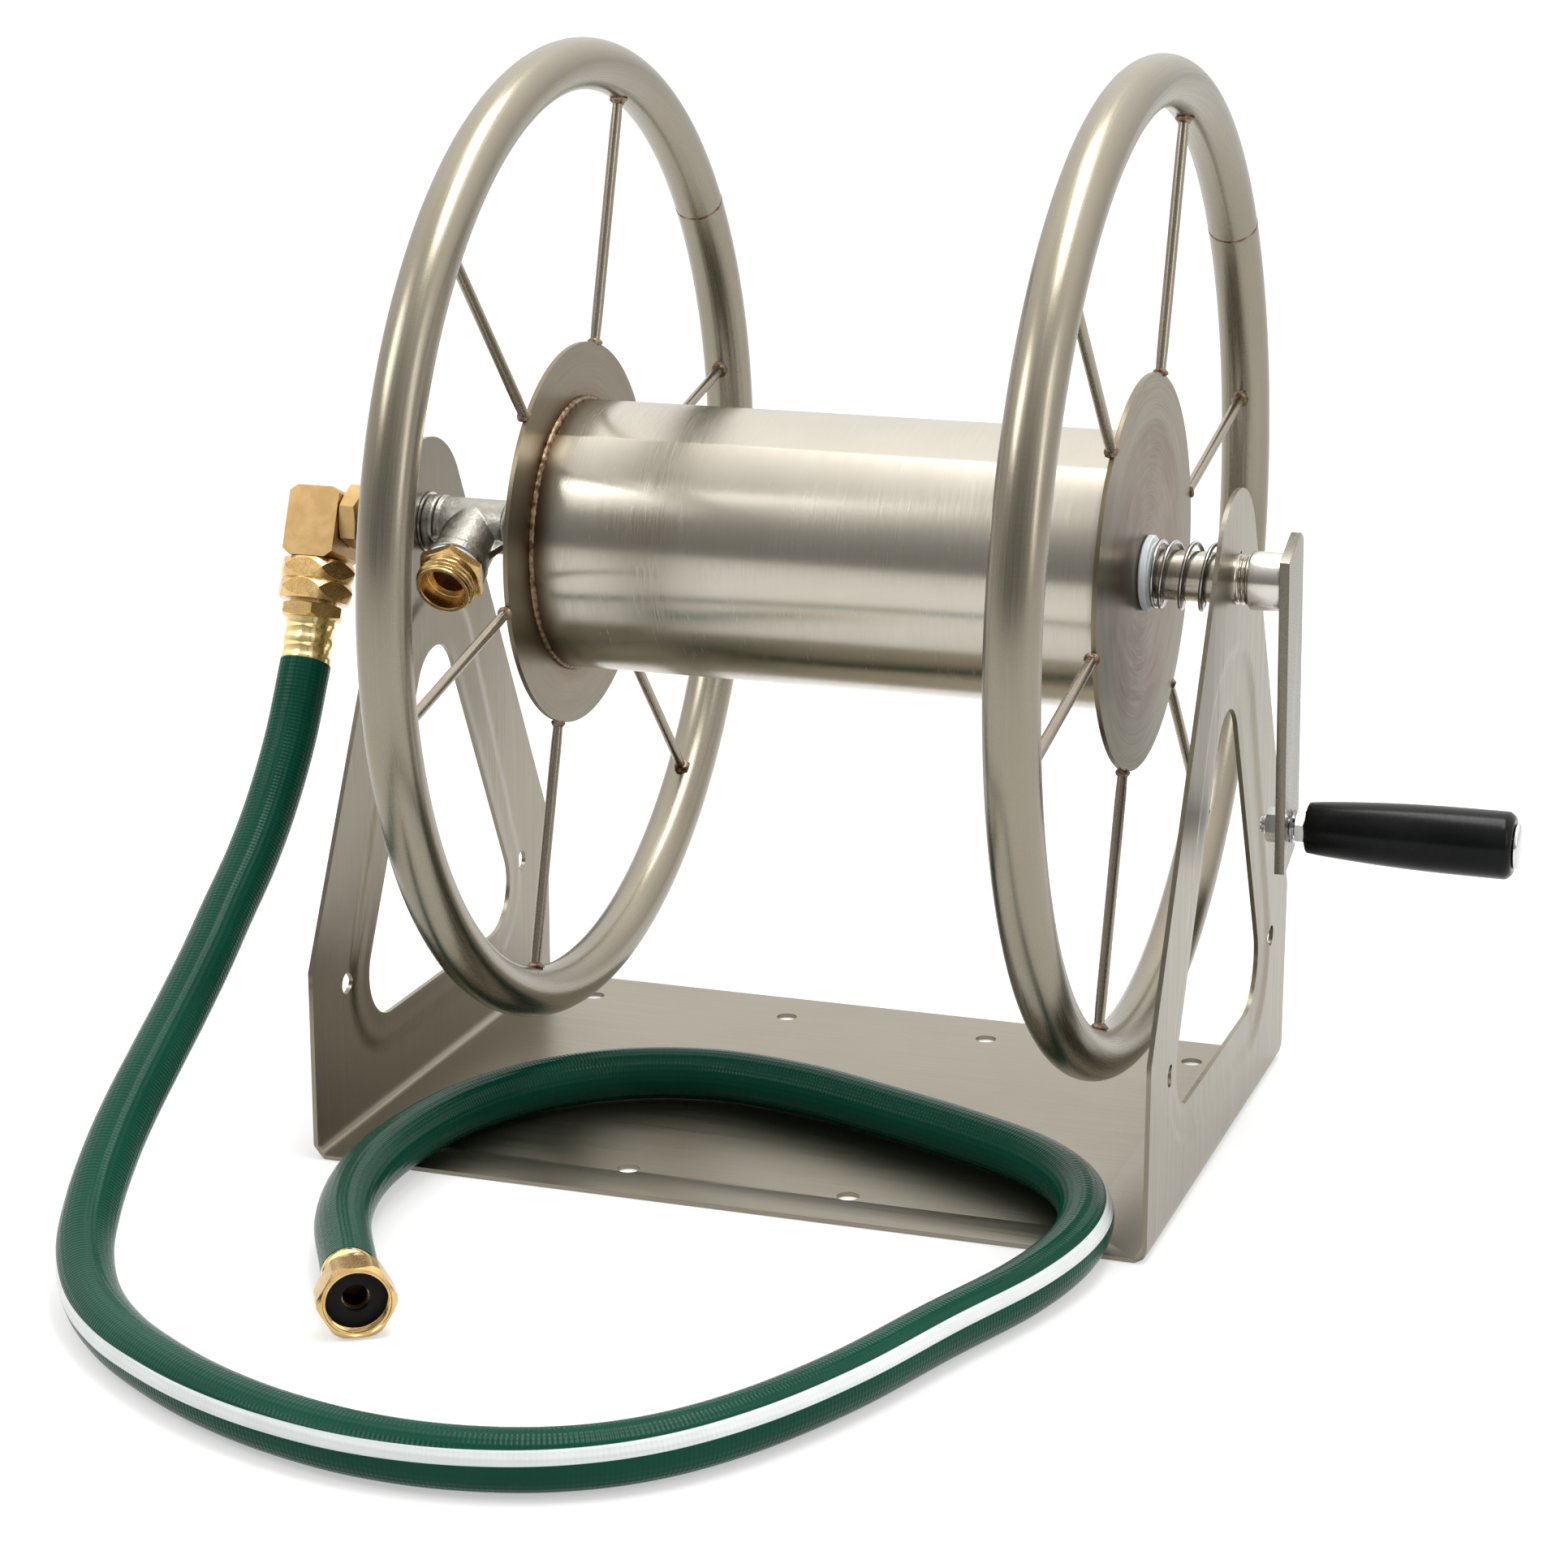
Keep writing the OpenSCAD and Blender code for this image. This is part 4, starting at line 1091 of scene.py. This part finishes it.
def side_plate(side):
    """One side of the sheet: its bend, outline, window, holes and pressed panel, 2 mm thick."""
    sign = {"left": -1, "right": 1}[side]
    window = belt(WINDOW)
    panel = belt([(y, z, r + g) for (y, z, r), g in zip(WINDOW, PANEL_GROWTH)])
    outline = plate_outline()
    holes = [AXLE_HOLE, *SIDE_HOLES]
    loops = [outline, window, round_hole(*AXLE_HOLE, 64)] + [round_hole(*hole) for hole in SIDE_HOLES]
    if side == "right":
        loops.append(round_hole(*OIL_HOLE, 20))
    points, edges = [], []
    for loop in loops:
        first = len(points)
        points += loop
        edges += [(first + k, first + (k + 1) % len(loop)) for k in range(len(loop))]

    # A field of points, in rows that are half a step apart, fills the sheet between its edges
    step, gap = 2.4, 1.2
    for i in range(int(300 / step)):
        z = -1.0 + i * step
        for k in range(int(270 / step)):
            y = -132.8 + 0.9 + (k + 0.5 * (i % 2)) * step
            if abs(y) < 131.5 and outside(y, z, window) >= gap and clear_of(y, z, holes, gap=gap):
                points.append((y, z))
    inside_only = 2
    flat, _, triangles, *_ = delaunay_2d_cdt([Vector(p) for p in points], edges, [], inside_only, 1e-5)

    def kept(triangle):
        y = sum(flat[v][0] for v in triangle) / 3
        z = sum(flat[v][1] for v in triangle) / 3
        if outside(y, z, outline) > 0 or outside(y, z, window) < 0:
            return False
        if side == "right" and not clear_of(y, z, [OIL_HOLE], gap=-0.05):
            return False
        return clear_of(y, z, holes, factor=0.98)

    triangles = [t for t in triangles if kept(t)]

    def press(y, z):
        """How far in the pressed panel is at a point, from 0 to 1."""
        d = outside(y, z, panel)
        t = min(1.0, max(0.0, (3.2 - d) / 5.2))
        ease = t * t * (3 - 2 * t)
        lip = math.exp(-((outside(y, z, window) - 1.0) / 2.4) ** 2)
        return ease + 0.35 * lip

    def placed(y, s, depth):
        """Point of the sheet at height s, depth from 0 on the outer face to 1 on the inner face."""
        if s < BEND:
            r = BEND_R - depth * SHEET_T
            a = (BEND - s) / BEND_MIDDLE
            return Vector((sign * (PLATE_OUT - BEND_R + r * math.cos(a)), y * MM, BEND_R - r * math.sin(a)))
        x = PLATE_OUT - depth * SHEET_T - PRESS * press(y, s)
        return Vector((sign * x, y * MM, s * MM))

    sheet = bmesh.new()
    used = sorted({v for t in triangles for v in t})
    outer = {v: sheet.verts.new(placed(flat[v][0], flat[v][1], 0)) for v in used}
    inner = {v: sheet.verts.new(placed(flat[v][0], flat[v][1], 1)) for v in used}
    rim_edges = {}
    for a, b, c in triangles:
        sheet.faces.new((outer[a], outer[b], outer[c]))
        sheet.faces.new((inner[c], inner[b], inner[a]))
        for p, q in ((a, b), (b, c), (c, a)):
            key = (min(p, q), max(p, q))
            rim_edges[key] = rim_edges.get(key, 0) + 1
    for (p, q), uses in rim_edges.items():
        if uses == 1:
            sheet.faces.new((outer[p], outer[q], inner[q], inner[p]))
    bmesh.ops.recalc_face_normals(sheet, faces=sheet.faces)
    mesh = bpy.data.meshes.new("plate_sheet_" + side)
    sheet.to_mesh(mesh)
    sheet.free()
    piece("plate_sheet_" + side, mesh, "frame", SHEET, ["side_plate_" + side], sharp=50)


for side in ("left", "right"):
    side_plate(side)

softened("base_sheet", "base_plate", "frame", SHEET, 0.3 * MM)

for name, paint in (("hub_disc_left", DISC), ("hub_disc_right", DISC), ("thrust_washer", BRIGHT),
                    ("coupling_tail", BRASS), ("coupling_washer", RUBBER), ("swivel_seals", RUBBER)):
    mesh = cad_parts[name].data
    mesh.materials.clear()
    mesh.materials.append(paint)

# ---- Floor and light -------------------------------------------------------


def floor():
    """Plain pale floor that also glows a little, so that it comes out white."""
    mesh = bpy.data.meshes.new("floor")
    s = 15.0
    mesh.from_pydata([(-s, -s, 0), (s, -s, 0), (s, s, 0), (-s, s, 0)], [], [(0, 1, 2, 3)])
    obj = bpy.data.objects.new("floor", mesh)
    obj.location.z = -0.2 * MM
    bpy.context.scene.collection.objects.link(obj)
    paint = Paint("floor", (0.86, 0.86, 0.86), roughness=0.9)
    paint.set("Emission Color", (1, 1, 1, 1))
    paint.set("Emission Strength", 0.45)
    cloud = paint.noise(paint.place(), 3, 2)
    paint.set("Base Color", paint.mix(cloud, (0.44, 0.44, 0.44), (0.46, 0.46, 0.46)))
    mesh.materials.append(paint.material)
    obj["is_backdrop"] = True


def softbox(name, location, target, width, height, power):
    data = bpy.data.lights.new(name, "AREA")
    data.shape = "RECTANGLE"
    data.size = width
    data.size_y = height
    data.energy = power
    obj = bpy.data.objects.new(name, data)
    obj.location = location
    obj.rotation_euler = (Vector(target) - Vector(location)).to_track_quat("-Z", "Y").to_euler()
    bpy.context.scene.collection.objects.link(obj)


def studio_world():
    """White studio: bright above, softer at the horizon, dim behind the camera."""
    world = bpy.data.worlds.new("studio")
    world.use_nodes = True
    tree = world.node_tree
    background = tree.nodes["Background"]
    coords = tree.nodes.new("ShaderNodeTexCoord")
    split = tree.nodes.new("ShaderNodeSeparateXYZ")
    tree.links.new(coords.outputs["Generated"], split.inputs[0])

    def ranged(socket, *limits):
        """Value from a socket, taken from its range (first two limits) to another (last two)."""
        node = tree.nodes.new("ShaderNodeMapRange")
        tree.links.new(socket, node.inputs[0])
        for place, limit in zip(node.inputs[1:5], limits):
            place.default_value = limit
        return node.outputs[0]

    height = ranged(split.outputs[2], 0.0, 0.8, 0.95, 2.0)
    front = ranged(split.outputs[1], -0.9, 0.2, 0.28, 1.0)
    both = tree.nodes.new("ShaderNodeMath")
    both.operation = "MULTIPLY"
    tree.links.new(height, both.inputs[0])
    tree.links.new(front, both.inputs[1])
    tree.links.new(both.outputs[0], background.inputs["Strength"])
    background.inputs["Color"].default_value = (1, 0.985, 0.96, 1)
    bpy.context.scene.world = world


floor()
studio_world()
softbox("key", (-1.3, -1.2, 1.7), (0, 0, 0.2), 0.8, 0.8, 13)
softbox("top", (0.2, 0.1, 2.0), (0, 0, 0.2), 1.4, 0.6, 26)
softbox("right", (1.8, -0.6, 1.0), (0, 0, 0.25), 0.35, 1.2, 6)
bpy.context.scene.view_settings.view_transform = "Standard"

visual_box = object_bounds()
boxes = {"cad": cad_box, "visual": visual_box}
{key: [list(map(float, v)) for v in box] for key, box in boxes.items()}
